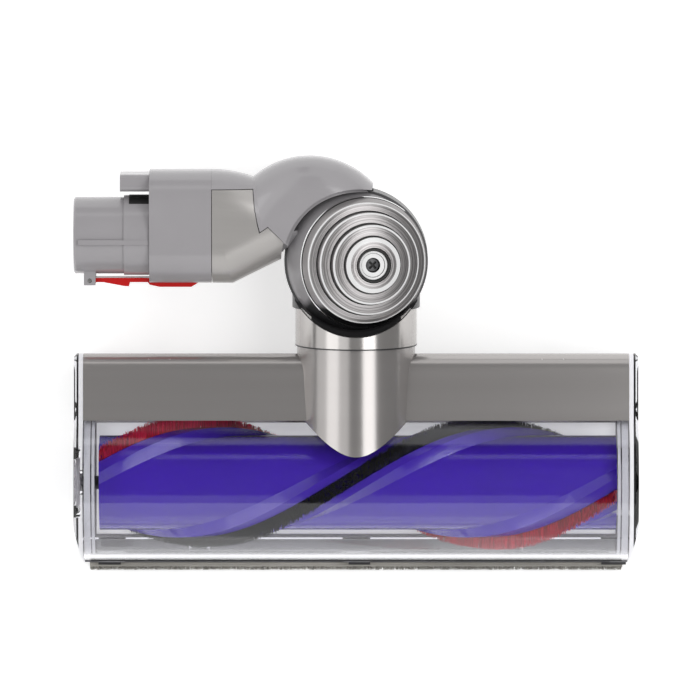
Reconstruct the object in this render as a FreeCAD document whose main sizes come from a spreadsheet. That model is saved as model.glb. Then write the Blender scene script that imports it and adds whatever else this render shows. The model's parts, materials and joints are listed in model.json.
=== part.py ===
"""Vacuum floor head with a driven brush bar, a clear housing and a swivelling elbow.

Millimetres. Z is up, Y points to the rear and X along the brush bar. The neck and the elbow
are drawn in a frame of their own, with its origin in the middle of the elbow's ball, its Y
along the neck and its Z along the pivot of the elbow, and are then put in place together.
"""
import math
import os

import FreeCAD
import Part
import Sketcher

SIZES = (
    ("head_width", 250.0, "overall width of the head"),
    ("bar_y", -53.62, "brush bar axis, from the origin"),
    ("bar_z", "=bristle_radius + 1.0", "brush bar axis, above the floor"),
    ("bar_length", "=head_width - 2 * cap_thickness - 12.5", "length of the brush tube"),
    ("bar_shift", 0.75, "middle of the brush tube, right of the middle of the head"),
    ("bar_radius", 21.0, "outside of the brush tube"),
    ("bar_wall", 2.4, "wall of the brush tube"),
    ("land_radius", "=bar_radius + 3.5", "top of the spiral lands"),
    ("land_pitch", 257.0, "advance of a land in one turn"),
    ("land_phase", -5.0, "where the filament land faces straight up"),
    ("land_half_angle", 17.0, "half of the flat of a land, in degrees"),
    ("groove_depth", 2.2, "groove in a land"),
    ("bristle_width", 4.4, "row of nylon bristles"),
    ("bristle_radius", "=land_radius + 5.5", "tips of the nylon bristles"),
    ("filament_width", 6.6, "row of soft filaments"),
    ("filament_radius", "=bristle_radius - 1.0", "tips of the soft filaments"),
    ("shell_radius", "=bristle_radius + shell_wall + 2.3", "outside of the clear housing"),
    ("shell_wall", 2.2, "wall of the clear housing"),
    ("shell_rear_angle", 26.0, "rear edge of the clear housing, up from the rear, in degrees"),
    ("shell_front_angle", 218.0, "front edge of the clear housing, in degrees"),
    ("skirt_front", "=shell_radius + 1.0", "front of the skirt, from the bar axis"),
    ("skirt_wall", 2.2, "thickness of the skirt"),
    ("skirt_top", "=bar_z - 5.0", "top of the skirt"),
    ("seat_gap", 0.2, "gap between pieces that are seated"),
    ("running_gap", 0.06, "radial gap of a shaft in its bearing"),
    ("moving_gap", 0.4, "gap between pieces that move past each other"),
    ("tube_front", "=bar_radius + 6.6", "front edge of the cross tube, from the bar axis"),
    ("tube_rear", "=shell_radius + 23.0", "rear face of the cross tube, from the bar axis"),
    ("tube_bottom", 7.6, "underside of the cross tube"),
    ("tube_top", "=bar_z + 22.5", "top of the cross tube"),
    ("tube_round", 9.0, "rounding of its rear edges"),
    ("tube_wall", 2.6, "wall of the cross tube"),
    ("tube_core", 34.0, "half of the solid middle of the cross tube"),
    ("cap_thickness", 4.0, "thickness of the end caps"),
    ("cap_edge", 1.2, "chamfer of the end caps"),
    ("corner_depth", 15.0, "bevel of the front corners of the end caps"),
    ("neck_rise", 6.0, "rise of the neck to the rear, in degrees"),
    ("neck_radius", 26.25, "outside of the neck"),
    ("neck_bore", 16.0, "air way of the neck"),
    ("pivot_reach", "=tube_rear + 41.7", "middle of the ball, behind the bar axis"),
    ("pivot_z", "=bar_z + 15.6", "middle of the ball, above the floor"),
    ("swivel_line", "=ball_radius + 5.8", "swivel joint, ahead of the middle of the ball"),
    ("tongue_reach", "=pivot_reach + 0.8", "front end of the neck, ahead of the middle of the ball"),
    ("sole_bottom", 2.6, "underside of the sole"),
    ("sole_front", "=skirt_front + 0.3", "front of the sole, from the bar axis"),
    ("sole_rear", "=tube_rear - 1.5", "rear of the sole, from the bar axis"),
    ("mouth_front", "=bar_radius + 3.0", "front of the suction mouth, from the bar axis"),
    ("mouth_rear", "=bar_radius + 6.6", "rear of the suction mouth, from the bar axis"),
    ("mouth_half", "=head_width / 2 - 9.0", "half of the width of the suction mouth"),
    ("felt_front", "=sole_front + 2.2", "front of the felt strip, from the bar axis"),
    ("felt_top", 9.4, "top of the felt strip"),
    ("felt_bottom", 0.9, "underside of the felt strip"),
    ("felt_foot", 6.4, "depth of the felt strip under the sole"),
    ("rear_wheel_radius", 7.0, "rear wheels"),
    ("rear_wheel_width", 9.0, "rear wheels"),
    ("rear_wheel_x", "=head_width / 2 - 37.0", "rear wheels, from the middle"),
    ("rear_wheel_y", "=tube_rear - 8.5", "rear wheels, behind the bar axis"),
    ("front_wheel_radius", 4.2, "front rollers"),
    ("front_wheel_width", 8.0, "front rollers"),
    ("front_wheel_x", "=head_width / 2 - 55.0", "front rollers, from the middle"),
    ("front_wheel_y", "=mouth_front + 5.6", "front rollers, ahead of the bar axis"),
    ("wheel_room", 0.6, "room round a wheel in its pocket"),
    ("rear_axle_radius", 1.5, "axles of the rear wheels"),
    ("front_axle_radius", 1.1, "axles of the front rollers"),
    ("axle_seat", 2.5, "depth of an axle in the wall beside its wheel"),
    ("motor_radius", "=bar_radius - 5.5", "drive motor in the brush tube"),
    ("motor_length", "=bar_length / 2 + 3.25", "drive motor"),
    ("spindle_radius", 3.0, "spindle of the brush tube"),
    ("bush_radius", 6.0, "bush of the spindle"),
    ("plug_length", 8.0, "end plugs of the brush tube"),
    ("lock_radius", 11.0, "coin lock of the left end cap"),
    ("lock_thickness", 2.4, "coin lock"),
    ("lock_stem", 4.0, "radius of the stem of the coin lock"),
    ("slot_width", 2.4, "coin slot"),
    ("cuff_end", "=0.6625 * ball_radius", "rear end of the cuff, ahead of the ball's middle"),
    ("flank_step", 1.3, "flanks of the knuckle, proud of the cuff"),
    ("cuff_radius", "=neck_radius + 0.75", "outside of the swivel cuff"),
    ("cuff_bore", "=neck_radius - 2.65", "inside of the swivel cuff"),
    ("ball_radius", "=neck_radius + 5.75", "ball of the elbow"),
    ("cap_cant", 15.0, "lean of the ringed caps, in degrees"),
    ("cap_height", "=ball_radius * 0.546875", "seat of a ringed cap, from the middle of the ball"),
    ("ear_apex", "=cap_height - 0.3", "underside of an ear, on the pivot"),
    ("pin_radius", 5.5, "pivot pins"),
    ("pin_depth", 9.0, "reach of a pivot pin in the knuckle"),
    ("duct_half_height", "=ball_radius * 0.21875", "half of the height of the air way in the knuckle"),
    ("duct_half_width", "=neck_bore - 2.0", "half of the width of the port in the knuckle"),
    ("knuckle_wall", 3.4, "wall of the knuckle"),
    ("post_radius", 9.0, "post round the pivot pins"),
    ("wand_offset", 10.7, "axis of the wand spigot, behind the middle of the ball"),
    ("spigot_radius", 17.0, "outside of the wand spigot"),
    ("spigot_bore", "=spigot_radius - 2.2", "inside of the wand spigot"),
    ("spigot_end", "=sleeve_end + 33.5", "mouth of the wand spigot, left of the middle"),
    ("sleeve_end", "=sleeve_start + 27.5", "left end of the sleeve"),
    ("sleeve_start", "=2 * ball_radius", "right end of the sleeve"),
    ("sleeve_front", "=spigot_radius - wand_offset + 3.9", "front of the sleeve"),
    ("sleeve_rear", "=wand_offset + spigot_radius + 12.3", "rear of the sleeve"),
    ("sleeve_half_height", "=spigot_radius + 2.5", "half of the height of the sleeve"),
    ("sleeve_round", "=sleeve_half_height - 2.5", "rounding of the sleeve"),
    ("cover_thickness", 2.2, "wall of the elbow's hood and covers"),
    ("hair_gap", 0.05, "parting line between pieces that meet flush"),
    ("bevel_start", "=sleeve_start - 9.5", "start of the bevel along the elbow's front, left of the ball"),
    ("bevel_angle", 26.4, "bevel along the elbow's front, in degrees"),
    ("waist_radius", 54.0, "curve of the elbow's rear edge from the sleeve to its waist"),
    ("shoulder_radius", "=ball_radius + 6.7", "round shoulder of the elbow"),
    ("shoulder_x", "=ball_radius * 0.64375", "middle of the shoulder, left of the ball"),
    ("shoulder_y", "=ball_radius * 0.2265625", "middle of the shoulder, behind the ball"),
    ("lip_angle", 77.4, "lip of the hood, up from the right of the ball, in degrees"),
    ("throat_start", 14.0, "depth of the round duct behind the sleeve"),
    ("step_reach", 11.3, "step round the wand spigot, beyond the sleeve"),
    ("boss_length", 13.0, "terminal boss, beyond the sleeve"),
    ("boss_front", "=wand_offset + spigot_radius + 3.1", "front of the terminal boss"),
    ("boss_depth", 7.6, "terminal boss"),
    ("boss_height", 20.0, "terminal boss"),
    ("latch_height", 9.0, "release latch"),
    ("latch_front", "=spigot_radius - wand_offset + 5.3", "barb of the release latch"),
    ("latch_hinge", "=spigot_end - 7.0", "hinge of the release latch, left of the middle"),
    ("latch_pin_radius", 1.0, "pin of the release latch"),
    ("latch_arm", 1.9, "thickness of the arm of the release latch"),
    ("latch_lift", 1.6, "gap under the arm of the release latch"),
    ("collar_radius", "=neck_bore + 3.9", "collar of the knuckle in the neck"),
    ("collar_length", 5.4, "collar of the knuckle in the neck"),
    ("screw_head", 2.8, "heads of the cap screws"),
    ("screw_shank", 1.4, "shanks of the cap screws"),
    ("recess_radius", 7.2, "recess in the crown of a ringed cap"),
)


def write_sheet(document):
    """Put the sizes in a spreadsheet, one alias a row: numbers drive, formulas follow."""
    sheet = document.addObject("Spreadsheet::Sheet", "Sizes")
    for row, (alias, _, note) in enumerate(SIZES, start=1):
        sheet.set("A%d" % row, note)
        sheet.setAlias("B%d" % row, alias)
    for row, (_, content, _) in enumerate(SIZES, start=1):
        sheet.set("B%d" % row, str(content))
    document.recompute()
    return sheet


class Size:
    """A number together with the formula by which the sheet gives it."""

    def __init__(self, value, text):
        self.value = float(value)
        self.text = text

    def __add__(self, other):
        other = as_size(other)
        return Size(self.value + other.value, "(%s + %s)" % (self.text, other.text))

    def __sub__(self, other):
        other = as_size(other)
        return Size(self.value - other.value, "(%s - %s)" % (self.text, other.text))

    def __mul__(self, other):
        other = as_size(other)
        return Size(self.value * other.value, "(%s * %s)" % (self.text, other.text))

    def __truediv__(self, other):
        other = as_size(other)
        return Size(self.value / other.value, "(%s / %s)" % (self.text, other.text))

    def __radd__(self, other):
        return as_size(other) + self

    def __rsub__(self, other):
        return as_size(other) - self

    def __rmul__(self, other):
        return as_size(other) * self

    def __neg__(self):
        return as_size(0) - self


def as_size(thing):
    """Take a size or a plain number as a size."""
    if isinstance(thing, Size):
        return thing
    return Size(thing, "%.6g" % thing)


def root(size):
    """Square root of a size."""
    return Size(math.sqrt(size.value), "sqrt(%s)" % size.text)


class Sheet:
    """Sizes of the sheet, read as attributes."""

    def __init__(self, sheet):
        for alias, _, _ in SIZES:
            setattr(self, alias, Size(sheet.get(alias), "Sizes." + alias))


doc = FreeCAD.newDocument("floor_head")
size = Sheet(write_sheet(doc))
pieces = []

LONG = 400.0
X_AXIS = FreeCAD.Vector(1, 0, 0)
Y_AXIS = FreeCAD.Vector(0, 1, 0)
Z_AXIS = FreeCAD.Vector(0, 0, 1)


def bind(thing, prop, amount):
    """Bind one property to a size."""
    thing.setExpression(prop, as_size(amount).text)


def place(thing, spot, direction=Z_AXIS):
    """Turn an object's Z to a direction and bind its spot."""
    thing.Placement = FreeCAD.Placement(
        FreeCAD.Vector(*[as_size(s).value for s in spot]), FreeCAD.Rotation(Z_AXIS, direction))
    for letter, amount in zip("xyz", spot):
        bind(thing, "Placement.Base." + letter, amount)
    return thing


def box(name, low, high):
    """Box between two corners given as sizes."""
    thing = doc.addObject("Part::Box", name)
    for prop, first, last in zip(("Length", "Width", "Height"), low, high):
        bind(thing, prop, as_size(last) - as_size(first))
    return place(thing, low)


def rod(name, radius, start, length, direction=Z_AXIS):
    """Round rod from a start along a direction."""
    thing = doc.addObject("Part::Cylinder", name)
    bind(thing, "Radius", radius)
    bind(thing, "Height", length)
    return place(thing, start, direction)


def cut(name, base, tool):
    """Base without the tool."""
    thing = doc.addObject("Part::Cut", name)
    thing.Base = base
    thing.Tool = tool
    return thing


def fuse(name, shapes):
    """All shapes joined in one solid."""
    thing = doc.addObject("Part::MultiFuse", name)
    thing.Shapes = shapes
    return thing


def common(name, shapes):
    """What all shapes share."""
    thing = doc.addObject("Part::MultiCommon", name)
    thing.Shapes = shapes
    return thing


def group(name, shapes):
    """Tools kept together without joining them."""
    thing = doc.addObject("Part::Compound", name)
    thing.Links = shapes
    return thing


def refined(name, thing):
    """Piece of its own from one shape that is already placed."""
    piece = doc.addObject("Part::Refine", name)
    piece.Source = thing
    return piece


def finish(thing, label):
    """Name a piece and put it on the list of pieces to write."""
    thing.Label = label
    pieces.append(thing)
    return thing


def new_body(label):
    """Start a body that is written under its label."""
    return finish(doc.addObject("PartDesign::Body", "body_" + label), label)


def plane_of(body, role):
    """Origin plane of a body, by its role."""
    return [f for f in body.Origin.OriginFeatures if f.Role == role][0]


def arc_centre(start, end, radius):
    """Centre of the arc between two points; a positive radius turns left on the way."""
    chord = (end[0] - start[0], end[1] - start[1])
    length = math.hypot(*chord)
    rise = math.sqrt(max(radius * radius - length * length / 4, 0.0))
    side = math.copysign(1.0, radius)
    return (start[0] + chord[0] / 2 - side * rise * chord[1] / length,
            start[1] + chord[1] / 2 + side * rise * chord[0] / length)


def arc_geometry(start, end, radius):
    """Short arc between two points, and whether it runs against its own sense."""
    x, y = arc_centre(start, end, radius)
    first = math.atan2(start[1] - y, start[0] - x)
    last = math.atan2(end[1] - y, end[0] - x)
    if radius < 0:
        first, last = last, first
    circle = Part.Circle(FreeCAD.Vector(x, y, 0), FreeCAD.Vector(0, 0, 1), abs(radius))
    return Part.ArcOfCircle(circle, first, last), radius < 0


def outline(body, role, name, points):
    """Closed outline in a body's own plane.

    Each point is (u, v) in sizes. A third number gives the edge that leaves the point as an
    arc of that radius, which turns left where it is positive and right where it is negative.
    """
    sketch = body.newObject("Sketcher::SketchObject", name)
    sketch.AttachmentSupport = [(plane_of(body, role), "")]
    sketch.MapMode = "FlatFace"
    spots = [tuple(as_size(c).value for c in point[:2]) for point in points]
    ends = []
    for index, point in enumerate(points):
        start = spots[index]
        end = spots[(index + 1) % len(points)]
        backward = False
        if len(point) == 3:
            curve, backward = arc_geometry(start, end, as_size(point[2]).value)
        else:
            curve = Part.LineSegment(FreeCAD.Vector(*start, 0), FreeCAD.Vector(*end, 0))
        edge = sketch.addGeometry(curve, False)
        ends.append((edge, 2, 1) if backward else (edge, 1, 2))
        if len(point) == 3:
            rule = sketch.addConstraint(
                Sketcher.Constraint("Radius", edge, abs(as_size(point[2]).value)))
            positive = point[2] if as_size(point[2]).value > 0 else -as_size(point[2])
            bind(sketch, "Constraints[%d]" % rule, positive)
    for index, point in enumerate(points):
        edge, first, last = ends[index]
        following = ends[(index + 1) % len(points)]
        sketch.addConstraint(
            Sketcher.Constraint("Coincident", edge, last, following[0], following[1]))
        for kind, amount in zip(("DistanceX", "DistanceY"), point[:2]):
            rule = sketch.addConstraint(
                Sketcher.Constraint(kind, -1, 1, edge, first, as_size(amount).value))
            bind(sketch, "Constraints[%d]" % rule, amount)
    return sketch


def pad(body, sketch, name, length, both_ways=False, reverse=False):
    """Pad a sketch by a length, or by half of it each way."""
    thing = body.newObject("PartDesign::Pad", name)
    thing.Profile = sketch
    bind(thing, "Length", length)
    thing.Midplane = both_ways
    thing.Reversed = reverse
    return thing


def turn(body, sketch, name, axis):
    """Full turn of a sketch about one of its own axes."""
    thing = body.newObject("PartDesign::Revolution", name)
    thing.Profile = sketch
    thing.ReferenceAxis = (sketch, [axis])
    thing.Angle = 360.0
    return thing


def extruded(name, role, points, length, middle):
    """Prism of an outline, with its middle at a distance from the origin plane."""
    body = doc.addObject("PartDesign::Body", "body_" + name)
    sketch = outline(body, role, "outline_" + name, points)
    pad(body, sketch, "pad_" + name, length, both_ways=True)
    normal = {"XY_Plane": "z", "XZ_Plane": "y", "YZ_Plane": "x"}[role]
    bind(body, "Placement.Base." + normal, middle)
    return body


def turned(name, points):
    """Solid turned about Z from an outline in the XZ plane, given as radius and height."""
    body = doc.addObject("PartDesign::Body", "body_" + name)
    sketch = outline(body, "XZ_Plane", "outline_" + name, points)
    turn(body, sketch, "turn_" + name, "V_Axis")
    return body


def rounded(name, base, radius, chosen):
    """Base with the chosen edges rounded."""
    doc.recompute()
    thing = doc.addObject("Part::Fillet", name)
    thing.Base = base
    edges = [i for i, edge in enumerate(base.Shape.Edges, start=1) if chosen(edge)]
    thing.Edges = [(i, as_size(radius).value, as_size(radius).value) for i in edges]
    return thing


def chamfered(name, base, depth, chosen):
    """Base with the chosen edges chamfered."""
    doc.recompute()
    thing = doc.addObject("Part::Chamfer", name)
    thing.Base = base
    edges = [i for i, edge in enumerate(base.Shape.Edges, start=1) if chosen(edge)]
    thing.Edges = [(i, as_size(depth).value, as_size(depth).value) for i in edges]
    return thing


HALF = size.head_width / 2
INNER = HALF - size.cap_thickness
CATCHES = ((16 - HALF, 6), (as_size(0), 6), (HALF - 8, 4))


def bar_cylinder(name, radius, start=-LONG / 2, length=LONG):
    """Cylinder about the brush bar's axis."""
    return rod(name, radius, (start, size.bar_y, size.bar_z), length, X_AXIS)


def in_swivel_frame(thing):
    """Put a piece that is drawn round the ball in its place on the head."""
    thing.Placement = FreeCAD.Placement(
        FreeCAD.Vector(0, (size.bar_y + size.pivot_reach).value, size.pivot_z.value),
        FreeCAD.Rotation(X_AXIS, size.neck_rise.value))
    return thing


def neck_rod(name, radius, front, length):
    """Cylinder along the neck, placed on the head; front is ahead of the ball's middle."""
    thing = rod(name, radius, (0, -front, 0), length, Y_AXIS)
    holder = group(name + "_placed", [thing])
    return in_swivel_frame(holder)


def at_bar(distance):
    """Y of a place that lies a distance behind the bar axis."""
    return size.bar_y + distance


def make_rear_housing():
    """Cross tube with the neck and its tongue, hollow at both sides, with the air way."""
    low = (-INNER, at_bar(size.tube_front), size.tube_bottom)
    high = (INNER, at_bar(size.tube_rear), size.tube_top)
    block = box("tube_block", low, high)
    rear = high[1].value
    tube = rounded("tube_rounded", block, size.tube_round,
                   lambda e: abs(e.BoundBox.YMin - rear) < 1e-6 and e.BoundBox.XLength > 50)
    neck = neck_rod("neck", size.neck_radius, size.tongue_reach,
                    size.tongue_reach - size.swivel_line)
    outer = fuse("tube_and_neck", [tube, neck])
    tools = [bar_cylinder("chamber", size.shell_radius + size.seat_gap)]
    tools.append(neck_rod("neck_bore_tool", size.neck_bore, size.tongue_reach + 1,
                          size.tongue_reach))
    tools.append(neck_rod("collar_seat", size.collar_radius + size.running_gap,
                          size.swivel_line + size.collar_length + size.seat_gap,
                          size.collar_length + 2))
    for side, first in (("left", -INNER - 1), ("right", size.tube_core)):
        hollow = box("tube_hollow_" + side,
                     (first, low[1], size.tube_bottom + size.tube_wall),
                     (first + INNER + 1 - size.tube_core, high[1] - size.tube_wall,
                      size.tube_top - size.tube_wall))
        front = bar_cylinder("tube_front_wall_" + side,
                             size.shell_radius + size.seat_gap + size.tube_wall)
        tools.append(cut("tube_room_" + side, hollow, front))
    tools += [wheel_pocket(side, "housing") for side in (-1, 1)]
    tools += [rear_axle_tool(side, "housing", size.seat_gap / 4) for side in (-1, 1)]
    return finish(cut("rear_housing_cut", outer, fuse("rear_housing_tools", tools)),
                  "rear_housing")


def wheel_pocket(side, owner):
    """Room for a rear wheel in the housing and the sole."""
    x = side * size.rear_wheel_x
    half = size.rear_wheel_width / 2 + size.wheel_room
    reach = size.rear_wheel_radius + size.wheel_room
    middle = at_bar(size.rear_wheel_y)
    return box("rear_pocket_%s_%d" % (owner, side + 1), (x - half, middle - reach, -1),
               (x + half, middle + reach, size.rear_wheel_radius + reach))


def rear_axle_tool(side, owner, gap):
    """Axle of a rear wheel, or the hole for it where a gap is given."""
    length = size.rear_wheel_width + 2 * size.wheel_room + 2 * size.axle_seat
    return rod("rear_axle_%s_%d" % (owner, side + 1), size.rear_axle_radius + gap,
               (side * size.rear_wheel_x - length / 2, at_bar(size.rear_wheel_y),
                size.rear_wheel_radius), length, X_AXIS)


def make_wheels():
    """Rear wheels and front rollers with their axles."""
    for side, word in ((-1, "left"), (1, "right")):
        middle = (side * size.rear_wheel_x, at_bar(size.rear_wheel_y), size.rear_wheel_radius)
        wheel("rear_wheel_" + word, middle, size.rear_wheel_radius, size.rear_wheel_width,
              size.rear_axle_radius + size.running_gap)
        finish(rear_axle_tool(side, "pin", 0), "rear_axle_" + word)
        middle = (side * size.front_wheel_x, at_bar(-size.front_wheel_y),
                  size.front_wheel_radius)
        wheel("front_roller_" + word, middle, size.front_wheel_radius, size.front_wheel_width,
              size.front_axle_radius + size.running_gap)
        finish(front_axle_tool(side, "pin", 0), "front_axle_" + word)


def wheel(label, middle, radius, width, bore):
    """Wheel with rounded shoulders, turned about its axle."""
    shoulder = width / 8
    body = new_body(label)
    half = width / 2
    sketch = outline(body, "XZ_Plane", "outline_" + label, [
        (bore, -half), (radius - shoulder, -half), (radius, shoulder - half),
        (radius, half - shoulder), (radius - shoulder, half), (bore, half)])
    turn(body, sketch, "turn_" + label, "V_Axis")
    return place(body, middle, X_AXIS)


def front_axle_tool(side, owner, gap):
    """Axle of a front roller, or the hole for it where a gap is given."""
    length = size.front_wheel_width + 2 * size.wheel_room + 2 * size.axle_seat
    return rod("front_axle_%s_%d" % (owner, side + 1), size.front_axle_radius + gap,
               (side * size.front_wheel_x - length / 2, at_bar(-size.front_wheel_y),
                size.front_wheel_radius), length, X_AXIS)


def roller_slot(side):
    """Slot in the front rail for a roller."""
    x = side * size.front_wheel_x
    half = size.front_wheel_width / 2 + size.wheel_room
    reach = size.front_wheel_radius + size.wheel_room
    middle = at_bar(-size.front_wheel_y)
    return box("roller_slot_%d" % (side + 1), (x - half, middle - reach, -1),
               (x + half, middle + reach, 3 * reach))


def make_sole():
    """Sole plate with the suction mouth, wheel slots and the catches of the clear housing."""
    plate = box("sole_block", (-INNER, at_bar(-size.sole_front), size.sole_bottom),
                (INNER, at_bar(size.sole_rear), size.tube_bottom))
    tabs = []
    for index, (x, half) in enumerate(CATCHES):
        tabs.append(box("catch_%d" % index, (x - half, at_bar(-size.sole_front), 7.0),
                        (x + half, at_bar(-size.skirt_front) + 1.6, 13.4)))
    plate = fuse("sole_and_catches", [plate] + tabs)
    tools = [box("mouth", (-size.mouth_half, at_bar(-size.mouth_front), 0),
                 (size.mouth_half, at_bar(size.mouth_rear), 20))]
    for side in (-1, 1):
        tools.append(wheel_pocket(side, "sole"))
        tools.append(rear_axle_tool(side, "sole", size.seat_gap / 4))
        tools.append(roller_slot(side))
        tools.append(front_axle_tool(side, "sole", size.seat_gap / 4))
    return finish(cut("sole_cut", plate, fuse("sole_tools", tools)), "sole_plate")


def make_felt():
    """Soft strip along the front edge, an angle under and before the sole."""
    body = new_body("front_felt_strip")
    front = at_bar(-size.felt_front)
    face = at_bar(-size.sole_front) - size.seat_gap
    under = size.sole_bottom - size.seat_gap
    sketch = outline(body, "YZ_Plane", "felt_section", [
        (front, size.felt_bottom), (front + size.felt_foot - 3, size.felt_bottom),
        (front + size.felt_foot - 3, under), (face, under), (face, size.felt_top),
        (front + 0.8, size.felt_top), (front, size.felt_top - 1.5)])
    pad(body, sketch, "felt", INNER * 2 - 4, both_ways=True)
    return body


def make_clear_housing():
    """Clear housing: a part of a tube with a skirt along its front."""
    outer = size.shell_radius
    inner = outer - size.shell_wall
    start = math.radians(size.shell_rear_angle.value)
    end = math.radians(size.shell_front_angle.value)
    shell = Part.makeCylinder(outer.value, 2 * (INNER - size.seat_gap).value,
                              FreeCAD.Vector(-(INNER - size.seat_gap).value,
                                             size.bar_y.value, size.bar_z.value), X_AXIS)
    shell = shell.cut(Part.makeCylinder(inner.value, LONG, FreeCAD.Vector(
        -LONG / 2, size.bar_y.value, size.bar_z.value), X_AXIS))
    reach = 3 * outer.value
    middle = FreeCAD.Vector(-LONG / 2, size.bar_y.value, size.bar_z.value)
    corners = [middle]
    for angle in (start, (start + end - 2 * math.pi) / 2, end):
        corners.append(middle + FreeCAD.Vector(
            0, reach * math.cos(angle), reach * math.sin(angle)))
    wedge = Part.Face(Part.makePolygon(corners + [middle])).extrude(X_AXIS * LONG)
    shell = shell.cut(wedge)
    skirt = Part.makeBox(
        2 * (INNER - size.seat_gap).value, size.skirt_wall.value,
        (size.skirt_top - size.tube_bottom - size.seat_gap).value,
        FreeCAD.Vector(-(INNER - size.seat_gap).value, at_bar(-size.skirt_front).value,
                       (size.tube_bottom + size.seat_gap).value))
    for x, half in CATCHES:
        skirt = skirt.cut(Part.makeBox(2 * half + 0.6, 1.9, 7.0, FreeCAD.Vector(
            x.value - half - 0.3, at_bar(-size.skirt_front).value - 0.1, 7.0)))
    thing = doc.addObject("Part::Feature", "clear_housing_shape")
    thing.Shape = shell.fuse(skirt).removeSplitter()
    return finish(thing, "clear_housing")


def make_end_caps():
    """End caps that follow the clear housing and the cross tube."""
    for side, word in ((-1, "left"), (1, "right")):
        middle = side * (HALF - size.cap_thickness / 2)
        half = size.cap_thickness / 2
        disc = bar_cylinder("cap_disc_" + word, size.shell_radius, middle - half,
                            size.cap_thickness)
        wing = box("cap_wing_" + word, (middle - half, at_bar(0), size.tube_bottom),
                   (middle + half, at_bar(size.tube_rear), size.tube_top))
        rear = at_bar(size.tube_rear).value
        wing = rounded("cap_wing_round_" + word, wing, size.tube_round,
                       lambda e: abs(e.BoundBox.YMin - rear) < 1e-6 and e.BoundBox.XLength > 1)
        foot = box("cap_foot_" + word, (middle - half, at_bar(-size.skirt_front),
                                        size.sole_bottom),
                   (middle + half, at_bar(size.sole_rear), size.bar_z / 2))
        whole = fuse("cap_whole_" + word, [disc, wing, foot])
        under = box("cap_under_" + word, (middle - HALF, at_bar(-HALF), -HALF),
                    (middle + HALF, at_bar(HALF), size.sole_bottom))
        corner = side * HALF
        front = at_bar(-size.skirt_front)
        bevel_corner = extruded("cap_corner_" + word, "XY_Plane", [
            (corner + side, front + size.corner_depth + 2), (corner + side, front - 2),
            (side * (INNER + 0.4), front - 2), (side * (INNER + 0.4), front),
            (corner, front + size.corner_depth)], LONG, 0)
        plate = cut("cap_plate_" + word, whole, fuse("cap_trim_" + word, [under, bevel_corner]))
        face = (side * HALF).value
        plate = chamfered("cap_edge_" + word, plate, size.cap_edge,
                          lambda e: abs(e.BoundBox.XMin - face) < 1e-6
                          and abs(e.BoundBox.XMax - face) < 1e-6)
        if side < 0:
            recess = bar_cylinder("lock_recess", size.lock_radius + size.seat_gap, -HALF - 1,
                                  size.lock_thickness + 1 + size.seat_gap)
            stem = bar_cylinder("lock_stem_hole", size.lock_stem + size.running_gap,
                                -HALF - 1, size.cap_thickness + 2)
            boss = bar_cylinder("bush_boss", size.bush_radius + 2.5, -INNER, 4.5)
            bore = bar_cylinder("bush_seat", size.bush_radius, -INNER, 4.6)
            plate = cut("left_cap_cut", fuse("left_cap_boss", [plate, boss]),
                        fuse("left_cap_tools", [recess, stem, bore]))
        finish(plate, word + "_end_cap")


def make_coin_lock():
    """Quarter-turn lock of the left end cap, with a slot for a coin."""
    face = -HALF + 0.1
    disc = bar_cylinder("lock_disc", size.lock_radius, face, size.lock_thickness)
    stem = bar_cylinder("lock_stem_rod", size.lock_stem, face,
                        size.cap_thickness - 0.1 - size.seat_gap)
    slot = box("lock_slot", (face - 1, at_bar(-size.lock_radius * 0.8),
                             size.bar_z - size.slot_width / 2),
               (face + 1.4, at_bar(size.lock_radius * 0.8),
                size.bar_z + size.slot_width / 2))
    return finish(cut("lock_cut", fuse("lock_whole", [disc, stem]), slot), "end_cap_lock")


def make_motor():
    """Drive motor on the right end cap, inside the brush tube, and the spindle's bush."""
    case = bar_cylinder("motor_case", size.motor_radius, INNER - size.motor_length,
                        size.motor_length)
    finish(case, "drive_motor")
    bush = cut("bush_ring", bar_cylinder("bush_outer", size.bush_radius, -INNER, 4.5),
               bar_cylinder("bush_inner", size.spindle_radius + size.running_gap,
                            -INNER - 1, 7))
    return finish(bush, "spindle_bush")


BAR_LEFT = size.bar_shift - size.bar_length / 2
BAR_RIGHT = size.bar_shift + size.bar_length / 2


def helix_path(radius):
    """Left-handed helix of the lands along X, as long as the brush tube."""
    helix = Part.makeHelix(size.land_pitch.value, size.bar_length.value, radius, 0, True)
    helix.rotate(FreeCAD.Vector(), Y_AXIS, 90)
    helix.translate(FreeCAD.Vector(BAR_LEFT.value, size.bar_y.value, size.bar_z.value))
    return helix


def bar_point(radius, angle):
    """Point of the brush bar's left end, at an angle from straight up towards the rear."""
    return FreeCAD.Vector(BAR_LEFT.value,
                          size.bar_y.value + radius * math.sin(math.radians(angle)),
                          size.bar_z.value + radius * math.cos(math.radians(angle)))


def twisted(profile):
    """Closed profile at the left end carried along the bar and turned with the lands."""
    spine = Part.Wire(Part.makeLine(bar_point(0, 0), bar_point(0, 0)
                                    + X_AXIS * size.bar_length.value))
    sweep = Part.BRepOffsetAPI.MakePipeShell(spine)
    sweep.setAuxiliarySpine(helix_path(size.bar_radius.value), True, 0)
    sweep.add(profile)
    sweep.build()
    sweep.makeSolid()
    return sweep.shape()


def start_angle():
    """Angle of the filament land at the left end of the bar."""
    return 360 * (BAR_LEFT - size.land_phase).value / size.land_pitch.value


def arc_through(radius, first, last):
    """Arc about the bar axis between two angles."""
    return Part.Arc(bar_point(radius, first), bar_point(radius, (first + last) / 2),
                    bar_point(radius, last)).toShape()


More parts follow.
